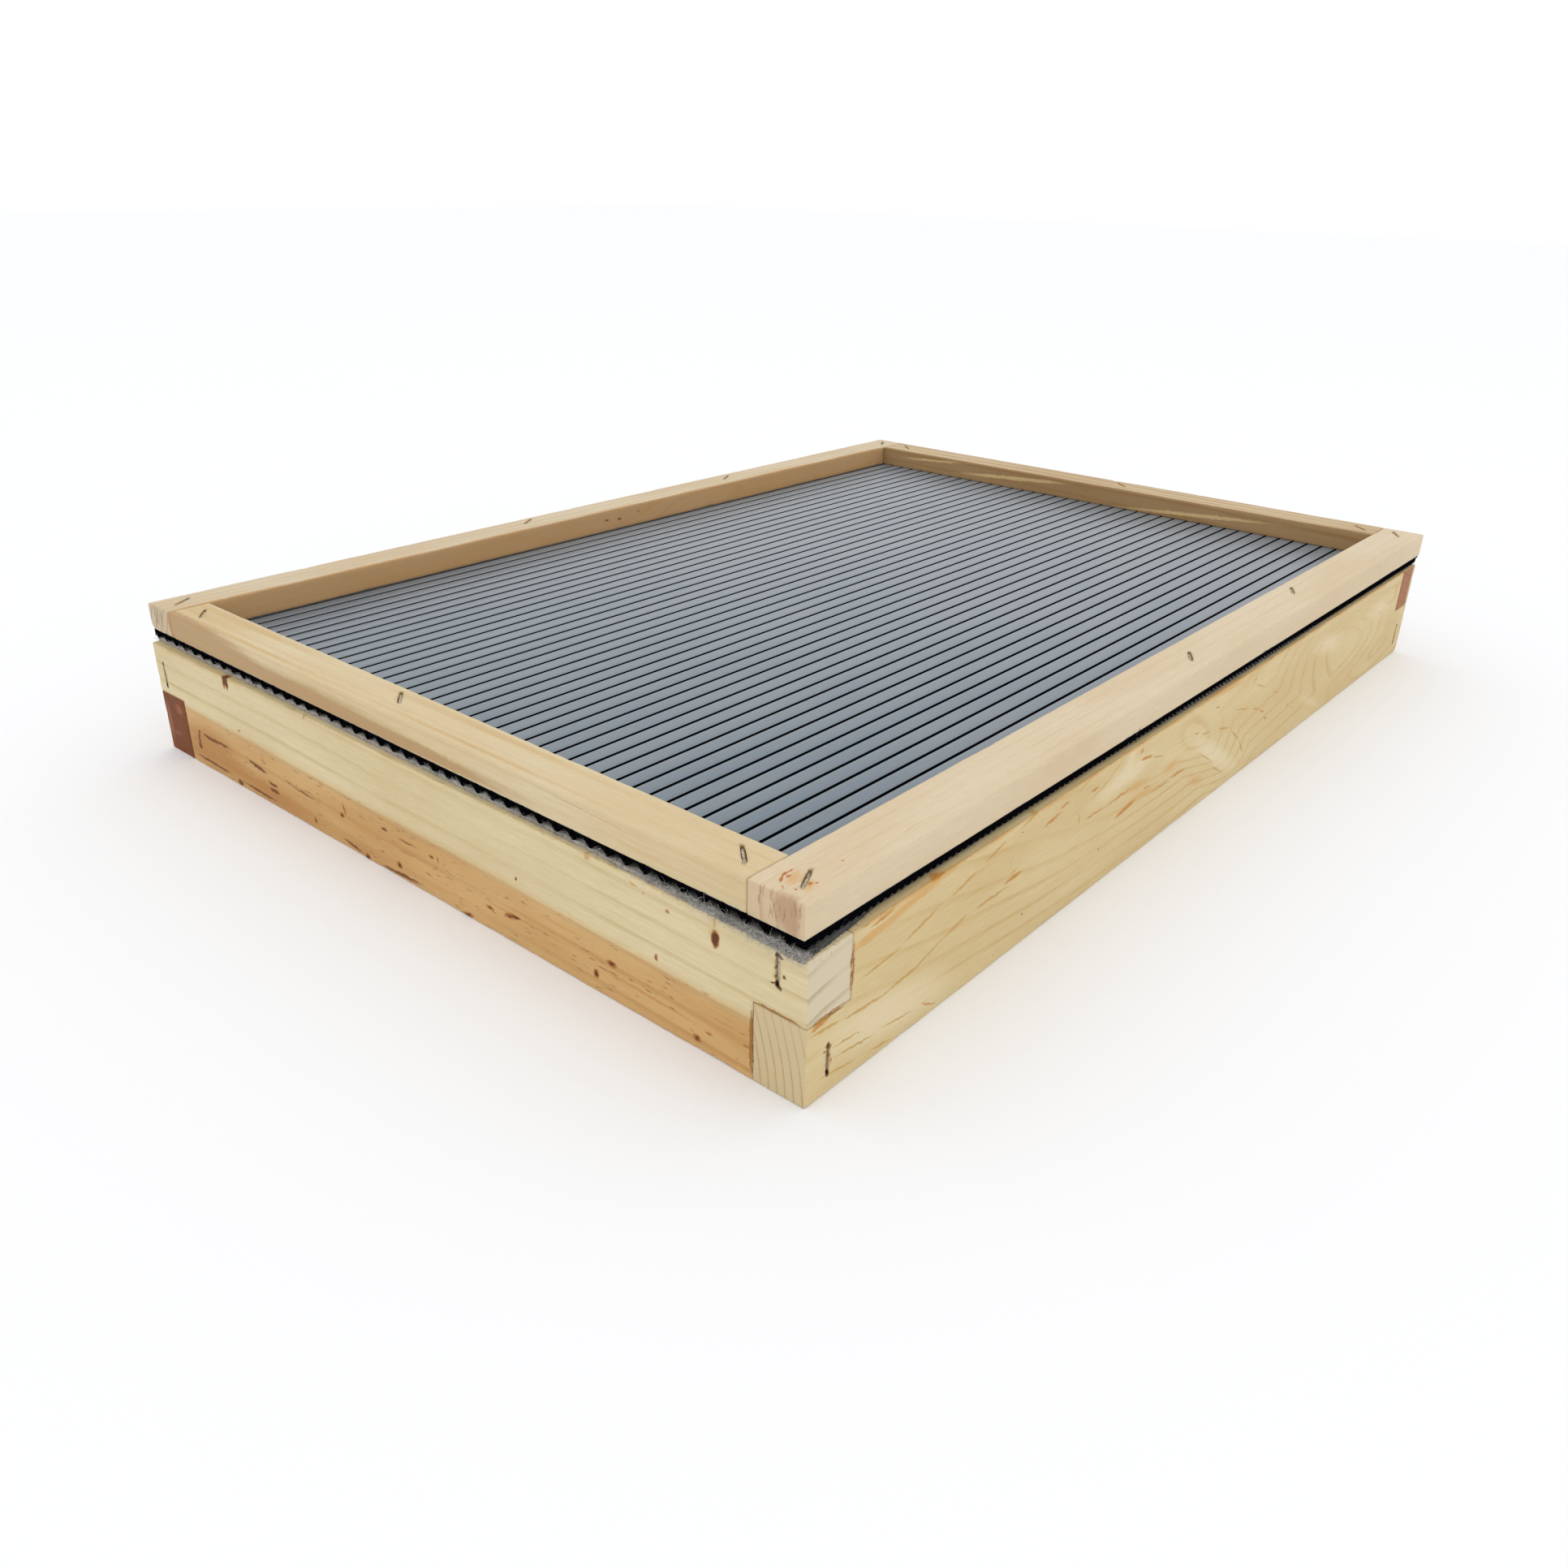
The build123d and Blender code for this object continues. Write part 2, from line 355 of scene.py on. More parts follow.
    # marks, torn by the fibres
    tear = s.math("MULTIPLY_ADD", fibre, 0.9, s.math("MULTIPLY", fine, 0.5))
    wobble = s.noise(s.vector("SCALE", s.point, scale=0.45), 3.0, 0.6, output=1)
    wobble = s.vector("SCALE", s.vector("SUBTRACT", wobble, HALVES), scale=1.6)
    worn_point = s.vector("ADD", s.point, wobble)
    # each mark is a stain or, over two battens' inner faces, painted shade
    for mark_colour, low, high, strength, marks in stains_and_shade:
        field = s.math("MULTIPLY", s.spots(worn_point, marks), s.ramp(tear, 0.3, 0.95, 0.55, 1.35))
        colour = s.mix(s.ramp(field, low, high, 0.0, strength), colour, mark_colour)
    if places:
        halo = s.math("MULTIPLY", s.spots(worn_point, slot_marks(places, 2.4)), tear)
        colour = s.mix(s.ramp(halo, 0.1, 0.45, 0.0, 0.4), colour, HALO)
        # painted shade in the two holes at each crown's ends, its edge ragged along the fibres
        holes = s.math("MULTIPLY", s.spots(worn_point, slot_marks(places, 1.4, ends_only=True)), tear)
        colour = s.mix(s.ramp(holes, 0.1, 0.35, 0.0, hole_shade_strength), colour, HOLE_SHADE)
    s.set(Base_Color=colour, Roughness=s.ramp(fibre, 0.2, 0.8, 0.62, 0.5), Specular_IOR_Level=0.16)
    s.bump(height, 0.35, 0.12 * MM)
    return s.material


# ---------------- timber meshes
def notched(low, high, along, notch, open_up):
    """A rail's side outline, with its ends notched above the lower finger or below the upper one."""
    start, stop, bottom, top = low[along], high[along], low.z, high.z
    first, last = start + notch, stop - notch
    if open_up:
        level = LOWER_FINGER
        upper = [(stop, level), (last, level), (last, top), (first, top), (first, level)]
        return [(start, bottom), (stop, bottom), *upper, (start, level)]
    level = LOWER_FINGER + LAP_GAP
    lower = [(start, level), (first, level), (first, bottom), (last, bottom), (last, level)]
    return [*lower, (stop, level), (stop, top), (start, top)]


def bevel(bm, edges, offset, segments):
    options = dict(profile=0.5, affect="EDGES", clamp_overlap=True)
    bmesh.ops.bevel(bm, geom=edges, offset=offset, segments=segments, **options)


def timber(outline, near, far, along, ease, wane=None):
    """A solid with that outline along its length and that thickness, eased, and cut fine enough to wear."""
    bm = bmesh.new()

    def point(place, across, z):
        return (place, across, z) if along == 0 else (across, place, z)

    rings = [[bm.verts.new(point(place, across, z)) for place, z in outline] for across in (near, far)]
    bm.faces.new(rings[0])
    bm.faces.new(rings[1][::-1])
    bridge(bm, rings)
    bmesh.ops.recalc_face_normals(bm, faces=bm.faces)
    if wane:
        bevel(bm, [edge for edge in bm.edges if wane(edge)], WANE, 6)
    bevel(bm, [edge for edge in bm.edges if edge.calc_face_angle_signed() > 1.2], ease, 3)
    start, stop = (end(place for place, _ in outline) for end in (min, max))
    bottom, top = (end(z for _, z in outline) for end in (min, max))
    fine_run, fine_step, step = 30 * MM, 0.8 * MM, 2.4 * MM
    cuts = []
    place = start + fine_step
    while place < stop - fine_step / 2:
        cuts.append((point(place, 0, 0), point(1, 0, 0)))
        place += fine_step if min(place - start, stop - place) < fine_run else step
    layers = int((top - bottom) / (2.2 * MM))
    for count, low, high, direction in ((layers, bottom, top, 2), (7, near, far, 1 - along)):
        for i in range(1, count):
            spot = Vector((0, 0, 0))
            spot[direction] = low + (high - low) * i / count
            normal = Vector((0, 0, 0))
            normal[direction] = 1
            cuts.append((spot, normal))
    for spot, normal in cuts:
        geometry = bm.verts[:] + bm.edges[:] + bm.faces[:]
        bmesh.ops.bisect_plane(bm, geom=geometry, dist=0.001 * MM, plane_co=spot, plane_no=normal)
    return bm


def wear(bm, seed, nick, rough=0.03):
    """Wears the arrises back unevenly, by up to nick millimetres, and leaves the faces barely uneven."""
    bm.normal_update()
    shift = Vector((seed * 7.3, seed * 3.1, seed * 5.7))
    moves = []
    for vertex in bm.verts:
        sharp = max(edge.calc_face_angle(0.0) for edge in vertex.link_edges) > 0.2
        p = vertex.co / MM
        amount = rough * noise.noise(p * 0.3 + shift)
        if sharp:
            slow = max(0.0, noise.noise(p * 0.06 + shift) + 0.1)
            quick = max(0.0, noise.noise(p * 0.55 + shift) - 0.1)
            amount -= nick * (0.5 * slow + 1.2 * quick * (0.4 + slow))
        moves.append(vertex.normal * amount * MM)
    for vertex, move in zip(bm.verts, moves):
        vertex.co += move


def torn_ball(bm, centre, axes, sizes, seed, ragged, square=0.6):
    """Adds a closed, boxy lump with a ragged skin, which a piece is carved with. Sizes are half lengths."""
    made = bmesh.ops.create_icosphere(bm, subdivisions=3, radius=1.0)["verts"]
    shift = Vector((seed * 5.1, seed * 2.7, seed * 8.9))
    for vertex in made:
        shape = [math.copysign(abs(c) ** square, c) for c in vertex.co]
        spot = sum((axis * part * size for axis, part, size in zip(axes, shape, sizes)), Vector())
        rag = noise.noise_vector((centre + spot) / MM * 0.9 + shift) * ragged * MM
        vertex.co = centre + spot + rag


def carve(bm, cutter):
    """Takes the cutter away from a mesh, and returns what is left."""
    volume = bm.calc_volume()
    objects = []
    for name, source in (("carved", bm), ("cutter", cutter)):
        mesh = bpy.data.meshes.new(name)
        source.to_mesh(mesh)
        source.free()
        objects.append(scene_object(name, mesh))
    carved, tool = objects
    modifier = carved.modifiers.new("carve", "BOOLEAN")
    modifier.operation = "DIFFERENCE"
    modifier.solver = "EXACT"
    modifier.object = tool
    for thorough in (False, True):
        modifier.use_self = thorough
        graph = bpy.context.evaluated_depsgraph_get()
        result = bmesh.new()
        result.from_mesh(carved.evaluated_get(graph).to_mesh())
        if 0.99 < result.calc_volume() / volume < 1.0:
            break
    for thing in objects:
        mesh = thing.data
        bpy.data.objects.remove(thing)
        bpy.data.meshes.remove(mesh)
    return result


def cut_slots(bm, places, extra=()):
    """Carves the torn slot of each staple, and any extra hollows, which are given in millimetres."""
    cutter = bmesh.new()
    for number, (middle, run, inward) in enumerate(places):
        axes = (run, inward.cross(run), inward)
        sizes = (CROWN / 2 + 0.25 * MM, WIRE / 2 + 0.22 * MM, 1.9 * MM)
        torn_ball(cutter, middle + inward * 0.2 * MM, axes, sizes, number + 1, 0.32)
    for number, (centre, axes, sizes, ragged) in enumerate(extra):
        sizes = [size * MM for size in sizes]
        torn_ball(cutter, Vector(centre) * MM, axes, sizes, number + 50, ragged, square=0.8)
    return carve(bm, cutter) if cutter.verts else bm


X, Y, Z = Vector((1, 0, 0)), Vector((0, 1, 0)), Vector((0, 0, 1))


def places_near(places, low, high, margin=2 * MM):
    """Those staples whose crowns lie in a box."""
    return [
        place for place in places
        if all(low[i] - margin <= place[0][i] <= high[i] + margin for i in range(3))
    ]


# ---------------- where everything is
rims = {side: local_box(f"{side}_rail", RIM_TURN) for side in SIDES}
tops = {side: local_box(f"{side}_batten", LAYER_TURN) for side in SIDES}
CORNERS = ("front_left", "front_right", "rear_left", "rear_right")
row_places = {side: staple_places(f"{side}_batten_staples", LAYER_TURN) for side in tops}
corner_places = {corner: staple_places(f"{corner}_corner_staples", RIM_TURN) for corner in CORNERS}
stock = rims["front"][1].y - rims["front"][0].y
LEFT_FACE = rims["left"][0].x / MM
FRONT_FACE = rims["front"][0].y / MM
RAIL_TOP = rims["front"][1].z / MM
BATTEN_TOP = tops["front"][1].z / MM


def corner_slots(side):
    """The corner staples whose crowns show in that rail's outer face."""
    low, high = rims[side]
    axis = 1 if side in ("front", "rear") else 0
    found = [place for places in corner_places.values() for place in places if abs(place[2][axis]) > 0.5]
    return places_near(found, low, high)


def end_strokes(level, start, width, seed):
    """Short upright strokes over a batten's left-hand end, which its sawn fibres leave."""
    rng = random.Random(seed)
    rows = []
    for _ in range(26):
        ranges = ((1.0, width), (56.5, 63), (0.2, 0.34), (1.2, 3.4), (-6, 3))
        y, z, thick, tall, tilt = (rng.uniform(*span) for span in ranges)
        rows.append((start + y, z, thick, tall, tilt))
    return on_side(level, rows, depth=2)


# ---------------- pine of each piece
SAP = srgb(226, 212, 173)
SAP_LINE = srgb(198, 176, 124)
CREAM = srgb(224, 208, 180)
CREAM_LINE = srgb(206, 178, 132)
KNOT = srgb(84, 44, 20)
RESIN = srgb(112, 66, 32)
AMBER = srgb(206, 158, 92)
PALE = srgb(228, 215, 182)
TORN = srgb(150, 100, 48)

left_knots = on_side(LEFT_FACE, [
    (116.6, 46.4, 1.6, 4.6, 0, 1.6), (118.6, 46, 1.6, 4.2, 8, 1.3), (117.5, 49.4, 3.2, 1.4),
    (-145.6, 40.8, 2, 3.4, 0, 1.8), (43.3, 13.1, 2, 1.5, 0, 1.2), (41.3, 16.6, 1, 3.6, -20, 0.8),
    (8.6, 5.3, 2, 1.8, 0, 1.3), (29.2, 0.9, 2.2, 1.8, 0, 1.3), (-43.2, 8.9, 2.6, 1.1),
    (-54, 10, 4.6, 1.3, -14), (-57.5, 11, 2.6, 0.9, -14, 0.8), (-102.5, 13.3, 3, 1.6),
    (-95, 6.6, 1.7, 2.2, 0, 1.2), (-138.2, 3.7, 2.2, 1.5, 0, 1.1), (63.3, 3.9, 1.4, 2, -25),
    (-30, 0.8, 4.5, 1.4, -12, 0.9), (-12, 16.4, 2, 0.8), (-15.7, 16.5, 0.6, 1.8, 0, 0.8),
    (-142.9, 7.8, 2.6, 0.7, 0, 0.6), (-58.6, 25.9, 0.9, 1, 0, 1.4), (-122, 24.6, 0.8, 1.6, 0, 0.9),
    (-127, 42, 1.4, 1.2, 0, 0.7), (113, 26.4, 1.6, 0.8, 0, 0.6), (60.8, 49, 2.6, 0.8, 20, 0.8),
    (60.6, 47.5, 0.6, 1.6, 0, 0.6),
])
left_streaks = on_side(LEFT_FACE, [  # resin lines and cracks in the heartwood
    (139.5, 15, 7.5, 1.1, 4, 0.9), (130, 15.3, 9, 0.9, 0, 0.7), (102.5, 14, 8.5, 1.2, 6, 1.1),
    (149.6, 12.2, 1.2, 3.8, 14), (149.9, 8.8, 2, 1.6, 0, 1.2), (148.4, 15.6, 1.3, 0.9, -30),
    (92.4, 9.4, 4.6, 1.05, 0, 0.8), (92, 6.9, 4.4, 1.05, 0, 1.2), (140, 3.4, 20, 0.9, 1.3, 0.8),
    (104, 2.6, 17, 0.9, 1.3, 0.8), (119.5, 1.6, 2.6, 1.6, 0, 1.2), (38, 2.2, 9, 0.9, 8, 0.7),
    (8, 1.6, 17, 1.05, -3, 0.8), (70, 13.6, 14, 0.9, 3, 0.5), (15.7, 17.1, 2.6, 0.9, 0, 0.7),
    (2, 16.6, 9, 0.75, 0, 0.5), (-167.8, 41.6, 0.9, 0.7, 0, 1.2), (-167.7, 38.6, 0.9, 0.6, 20, 1.2),
    (-170.4, 39.6, 0.9, 0.8, 0, 1.2), (-169.2, 45.2, 0.9, 0.8), (-169, 35.4, 1, 0.9, 0, 1.2),
    (-166.9, 36.4, 1.8, 0.5, -10, 0.8),
])
left_faint = on_side(LEFT_FACE, [
    (0, 12.7, 34, 0.9, 0, 0.8), (-60, 11, 34, 0.8, 0, 0.8), (-119, 9.2, 34, 0.9, 1, 0.9),
    (-80, 17, 22, 0.7, 0, 0.6), (-30, 6, 26, 0.7, 0, 0.6), (-150, 14, 14, 0.8, 0, 0.6),
])
left_ticks = on_side(LEFT_FACE, [
    (-93.6, 47, 1.8, 1.4), (-113.2, 45.6, 2, 0.7), (-117.5, 44.2, 0.9, 0.8),
    (-145.2, 41.6, 3.2, 4, 0, 0.6), (-145.4, 46.4, 1.2, 2.4, 0, 0.8), (118, 49, 4.5, 2, 0, 0.6),
    (-172, 26.6, 12, 0.8, 0, 0.9),
])
left_edge = [(y, RAIL_TOP - 0.2, 20, 0.8, 0, 0.5) for y in range(-150, 176, 26)]
left_arris = on_side(LEFT_FACE, left_edge, depth=1.2)
left_wash = on_side(LEFT_FACE, [(142, 10, 36, 14), (95, 5, 40, 7, 4, 0.8), (30, 3, 60, 6, 2, 0.5)])
left_torn_joint = on_side(LEFT_FACE, [(-159, 13, 0.9, 14, 0, 1.3), (-168, 27, 11, 0.8, 0, 1.1)])
left_torn_end = on_front(FRONT_FACE, [(-235, 37, 0.6, 11.5), (-244, 27.2, 10, 0.55)])

left_pine = pine(
    "left_rail_pine", "Y", (-232, -33.7), 7.6, 0.75, SAP, SAP_LINE, drift=(0.0, 0.0128), wander=1.6,
    heart=(60.5, srgb(212, 172, 116), srgb(196, 150, 92)),
    bumps=on_side(LEFT_FACE, [(20.7, 39.5, 4, 5, 0, 1.8)]),
    stains_and_shade=(
        (srgb(190, 152, 92), 0.1, 0.6, 0.75, left_ticks + left_arris),
        (srgb(176, 124, 68), 0.0, 0.8, 0.75, left_wash),
        (TORN, 0.12, 0.6, 0.85, left_torn_joint + left_torn_end),
        (srgb(182, 128, 74), 0.1, 0.8, 0.6, left_faint),
        (RESIN, 0.06, 0.5, 0.92, left_streaks),
        (srgb(160, 98, 46), 0.05, 0.5, 0.85, left_knots),
        (KNOT, 0.5, 0.9, 0.9, left_knots),
    ),
    ends=((srgb(208, 196, 170), 0.8, srgb(168, 146, 112)), (srgb(214, 196, 160), 0.6, srgb(180, 156, 116))),
    places=corner_slots("left"),
)

front_streaks = on_front(FRONT_FACE, [
    (-150.4, 29.2, 6.5, 0.95, 3, 1.3), (-150, 31.4, 4.5, 0.5, 4, 0.6), (-128, 41.3, 7.5, 0.8, 8, 1.2),
    (-120.6, 43.8, 4.4, 0.6, 4, 1.1), (-110, 23.5, 8, 0.8, 2, 0.45), (-99.3, 41.9, 3.6, 0.7),
    (-97.5, 31.8, 9.5, 0.55), (-80, 31.7, 13, 0.8, 0, 0.9), (-72.6, 24.4, 9.5, 1.5, 8, 1.4),
    (-56.5, 27.4, 5, 0.6, -4, 0.9), (-44, 23, 12, 0.6, -3, 0.8), (-28, 23.3, 9, 0.7, -2, 1.1),
    (-60, 40.6, 7, 0.9, -9, 1.1), (-65, 44.8, 1.8, 1.6, 0, 0.8), (-194, 48, 5.5, 0.7, 4, 1.1),
    (-179, 48.7, 4.5, 0.6, 4), (-221.5, 46.6, 7, 0.6, 6, 1.3), (-248, 25.5, 6, 1.2, 6),
    (-15.7, 36, 3.5, 0.5, -12, 0.8), (1.4, 41.7, 3.5, 0.5, -12, 0.8), (54.3, 24, 4.5, 0.7, -22, 0.8),
    (60, 19, 3, 0.8, -30, 0.8), (68, 29, 6, 0.5, -14, 0.6), (86.5, 17.4, 1.4, 0.7, -12, 0.8),
    (94.3, 13.9, 1.6, 0.7, -12, 0.8), (54, 47.7, 5, 0.5, 6, 0.7), (155, 17, 4, 0.6, 0, 0.6),
])
front_washes = on_front(FRONT_FACE, [
    (-208, 45.6, 32, 2.6, 7, 1.1), (-228, 43.2, 9, 2.2, 4, 0.9), (-66, 31, 16, 3, -4, 0.8),
    (-36, 29, 16, 4.5, -6, 0.7), (-60, 25.5, 24, 3, 0, 0.7), (-150, 29, 12, 2.2, 3, 0.5),
    (-10, 14, 16, 5, -25, 0.6), (-170, 40.5, 22, 2, 8, 0.5), (-186, 25.5, 14, 1.8, 6, 0.5),
    (10, 47, 26, 2.4, -3, 0.7), (225, 40, 8, 9, 0, 0.6),
])
front_lines = on_front(FRONT_FACE, [
    (-222, 31.6, 14, 0.7, 4, 0.8), (-201, 35.6, 12, 0.8, 14), (-180, 39.4, 10, 0.8, 12),
    (-163, 43.6, 9, 0.8, 14, 0.9), (-141, 47.6, 14, 0.7, 13, 0.8), (-246, 22.8, 9, 0.8, -6, 0.9),
    (-228, 20.6, 13, 0.8, -4), (-209, 20.8, 12, 0.8, 5), (-196, 23.2, 8, 0.7, 14, 0.8),
    (-183, 26.2, 9, 0.8, 12, 0.9), (-163, 27.1, 14, 0.8, 0, 0.9), (-236, 13.8, 9, 0.6, -6, 0.7),
    (-232, 9.4, 13, 0.6, -7, 0.9), (-211, 7.2, 12, 0.6, -8, 0.8), (-195, 4, 7, 0.6, -28, 0.9),
    (-240, 5.6, 12, 0.6, -10, 0.8), (-219, 2.4, 11, 0.6, -8, 0.7), (-108.6, 34, 0.8, 2.8, 8, 0.9),
    (-95, 40.4, 12, 0.5, 14, 0.8), (-84, 45, 10, 0.5, 26, 0.7), (-106, 46.8, 9, 0.5, 12, 0.7),
    (-50, 37.6, 7, 0.5, -14, 0.8), (-30, 37.2, 16, 0.5, 0, 0.5), (-6, 33, 6, 0.6, -10, 0.8),
    (12, 29.4, 9, 0.7, -14, 0.9), (27, 21.5, 8, 0.8, -34, 0.9), (36, 13.6, 6, 0.8, -50, 0.9),
    (30, 32.4, 11, 0.6, -14, 0.8), (46, 27.6, 8, 0.6, -18, 0.8), (-2, 21, 14, 0.6, -30, 0.7),
    (12, 11, 12, 0.6, -28, 0.7), (47, 37.8, 9, 0.6, -20, 0.7), (39, 42.6, 5, 1.2, 50, 0.6),
])
front_pale = on_front(FRONT_FACE, [
    (8, 19, 38, 6, -30, 1.2), (-76, 38.5, 34, 6.5, 4, 1.1), (-73, 46, 8, 5, 30, 0.8),
    (128, 35.5, 30, 7.5, -8, 0.9), (200, 36, 26, 8, 0, 0.7), (-215, 12, 44, 12, -8, 1.2),
    (-110, 8, 50, 7, 0, 0.5), (120, 9, 30, 3.6, -22, 0.6), (48, 8, 30, 8, 0, 0.3),
])
front_dots = on_front(FRONT_FACE, [
    (-147.5, 44.2, 0.8, 0.5, -30, 1.2), (-147.5, 33.9, 0.7, 0.4), (-153, 35.6, 0.5, 0.4),
    (-141.8, 11.4, 0.9, 0.5, -30, 1.2), (-90, 14.9, 0.9, 0.6, -30, 1.2), (-230, 13.1, 1, 0.4, 0, 0.8),
    (-228.4, 8.5, 1.2, 0.4, 0, 0.8), (-158, 3.4, 0.7, 0.5, 0, 0.9), (-193, 38.2, 0.8, 0.4, 0, 0.8),
    (-56, 9.6, 0.9, 0.5, 0, 0.8), (-44, 12.8, 0.8, 0.5, 0, 0.6),
])
front_edge = [(x, RAIL_TOP - 0.1, 22, 1.1) for x in range(-220, 240, 30)]
front_arris = on_front(FRONT_FACE, front_edge, depth=1.6)
front_torn = on_front(FRONT_FACE, [
    (-234.1, 37, 0.5, 11.5, 0, 0.9), (-244, 26.1, 10, 0.5), (-243, 15.6, 1.2, 1, 20, 1.1),
    (-245.2, 14.9, 1, 0.6, -20), (-243.2, 12.6, 0.7, 1.1, 0, 0.9), (-244.2, 8, 0.9, 1.3, 0, 1.2),
    (-242.6, 10.6, 0.6, 1.3, 0, 0.9),
])

front_pine = pine(
    "front_rail_pine", "X", (-68, -9), 3.0, 0.6, srgb(222, 205, 160), srgb(198, 162, 98), wander=1.6,
    bumps=on_front(FRONT_FACE, [
        (141, 34.6, 80, 24, -7, -12.5), (-40, 30, 200, 34, 0, 12), (8, 19, 60, 16, -30, 6.5),
        (210, 10, 90, 22, 8, 8),
    ], depth=40),
    stains_and_shade=(
        (PALE, 0.0, 1.0, 0.6, front_pale),
        (TORN, 0.12, 0.6, 0.85, front_torn),
        (AMBER, 0.1, 0.9, 0.75, front_washes + front_arris),
        (srgb(190, 150, 84), 0.1, 0.6, 0.85, front_lines),
        (srgb(190, 132, 58), 0.08, 0.7, 0.92, front_streaks),
        (srgb(112, 92, 62), 0.3, 0.7, 0.8, front_dots),
    ),
    ends=((srgb(200, 182, 144), 0.7, srgb(166, 138, 96)), (srgb(204, 170, 116), 0.5, srgb(150, 108, 66))),
    places=corner_slots("front"),
)
rear_pine = pine(
    "rear_rail_pine", "X", (214, -40), 3.4, 0.7, srgb(216, 188, 138), srgb(184, 140, 86), wander=2.8,
    heart=(66, srgb(206, 160, 106), srgb(184, 132, 78)),
    bumps=on_front(rims["rear"][1].y / MM, [(60, 24, 120, 26, 4, 6), (-150, 14, 90, 22, -6, -5)], depth=40),
    stains_and_shade=(
        (RESIN, 0.15, 0.6, 0.8, on_side(LEFT_FACE, [
            (168, 5.2, 12, 0.9, -3, 1.3), (162, 18, 5, 0.5, 40, 0.7)])),
        (srgb(160, 100, 62), 0.1, 0.9, 0.6, on_side(LEFT_FACE, [
            (174, 14, 2.4, 12, 0, 1.2), (164, 21, 5, 3.5, 20), (169, 9, 6, 1.4, -8, 0.8)])),
    ),
    ends=((srgb(116, 62, 24), 0.97, srgb(84, 42, 18)), (srgb(150, 100, 66), 0.85, srgb(112, 70, 44))),
    places=corner_slots("rear"),
)
right_pine = pine(
    "right_rail_pine", "Y", (212, -46), 4.6, 0.7, srgb(222, 200, 152), srgb(196, 158, 102), wander=3.2,
    heart=(70, srgb(208, 164, 108), srgb(188, 138, 82)),
    bumps=on_side(rims["right"][1].x / MM, [(-40, 22, 110, 24, 0, 8), (90, 30, 60, 16, 8, -7)], depth=40),
    ends=((srgb(158, 104, 66), 0.92, srgb(118, 74, 46)), (srgb(158, 104, 66), 0.9, srgb(118, 74, 46))),
    stains_and_shade=((srgb(206, 182, 140), 0.05, 0.6, 0.85, on_front(FRONT_FACE, [(251, 38, 4.6, 18, 0, 1.5)])),),
    places=corner_slots("right"),
)

top_knots = on_top(BATTEN_TOP, [
    (-246.3, -164.6, 2.2, 0.55, 32, 1.3), (-243.6, -163.4, 1.9, 0.55, 8, 1.2),
    (-241, -163.4, 1.6, 0.5, -6, 0.9), (-243.9, -164.9, 1.6, 0.9, 20, 0.7),
    (-243, -171.4, 1.5, 0.8, 40, 1.1), (-241.6, -172.6, 1, 0.7, 0, 0.8),
    (-247.7, -170.7, 0.7, 0.6, 0, 1.4), (-249, -167.6, 1.4, 0.5, 50, 0.7),
    (-227.5, -170.2, 0.9, 1, 0, 0.6),
])
front_end_x, front_end_y = (c / MM for c in tops["front"][0].xy)
rear_end_x, rear_end_y = (c / MM for c in tops["rear"][0].xy)
end_band = on_side(front_end_x, [
    (front_end_y + 5, 59, 4.4, 9, -4, 1.2), (front_end_y + 9, 60, 3, 8, 0, 0.6),
])
top_wash = on_top(BATTEN_TOP, [
    (-243.5, -166.4, 6.5, 3, 20), (-244, -172, 5.5, 2.6, 30, 0.9), (-100, -166, 50, 1, 1, 0.4),
    (40, -172, 70, 1, 0, 0.4), (150, -163, 60, 1, -1, 0.4), (-200, -172.8, 22, 0.7, 1, 0.6),
])
front_batten_pine = pine(
    "front_batten_pine", "X", (-330, 66), 5.6, 0.32, CREAM, CREAM_LINE, wander=2.2, drift=(0.0, 0.006),
    stains_and_shade=(
        (AMBER, 0.15, 0.8, 0.6, top_wash),
        (srgb(176, 104, 46), 0.12, 0.6, 0.92, top_knots),
        (srgb(176, 138, 108), 0.05, 0.7, 0.7, end_band),
        (srgb(140, 102, 74), 0.15, 0.7, 0.5, end_strokes(front_end_x, front_end_y, 16, 3)),
        (srgb(150, 118, 80), 0.3, 0.8, 0.6, on_front(front_end_y, [
            (-97, 62, 5, 0.4, 3, 0.7), (-5, 60, 6, 0.4, 0, 0.6), (110, 58, 9, 0.5, -3, 0.5)])),
    ),
    ends=(
        (srgb(204, 180, 148), 0.75, srgb(184, 154, 122)),
        (srgb(206, 182, 150), 0.6, srgb(176, 142, 108)),
    ),
    places=row_places["front"], hole_shade_strength=0.35,
)
rear_batten_pine = pine(
    "rear_batten_pine", "X", (80, 20), 4.2, 0.6, srgb(218, 204, 176), srgb(192, 158, 110), wander=3.0,
    bumps=on_front(rear_end_y, [(-30, 58, 70, 9, 0, 7), (60, 60, 50, 7, 4, -5)], depth=20),
    stains_and_shade=(
        (srgb(120, 98, 74), 0.2, 0.7, 0.7, end_strokes(rear_end_x, rear_end_y + 5, 8, 5)),
        # painted shade over the whole inner face of the rear batten
        (srgb(186, 140, 86), 0.0, 0.4, 0.75, on_front(rear_end_y, [
            (x, 58.5, 60, 9) for x in (-220, -150, -80, -10, 60, 130, 200)], depth=2.6)),
        (srgb(110, 70, 38), 0.3, 0.8, 0.85, on_front(rear_end_y, [
            (-14, 59, 3, 0.9), (-5, 58, 2.6, 1.2), (9, 60, 2, 0.8, 0, 0.8)])),
    ),
    ends=((srgb(196, 178, 150), 0.7, srgb(150, 132, 106)), (srgb(198, 176, 146), 0.6, srgb(160, 136, 106))),
    places=row_places["rear"], hole_shade_strength=0.35,
)
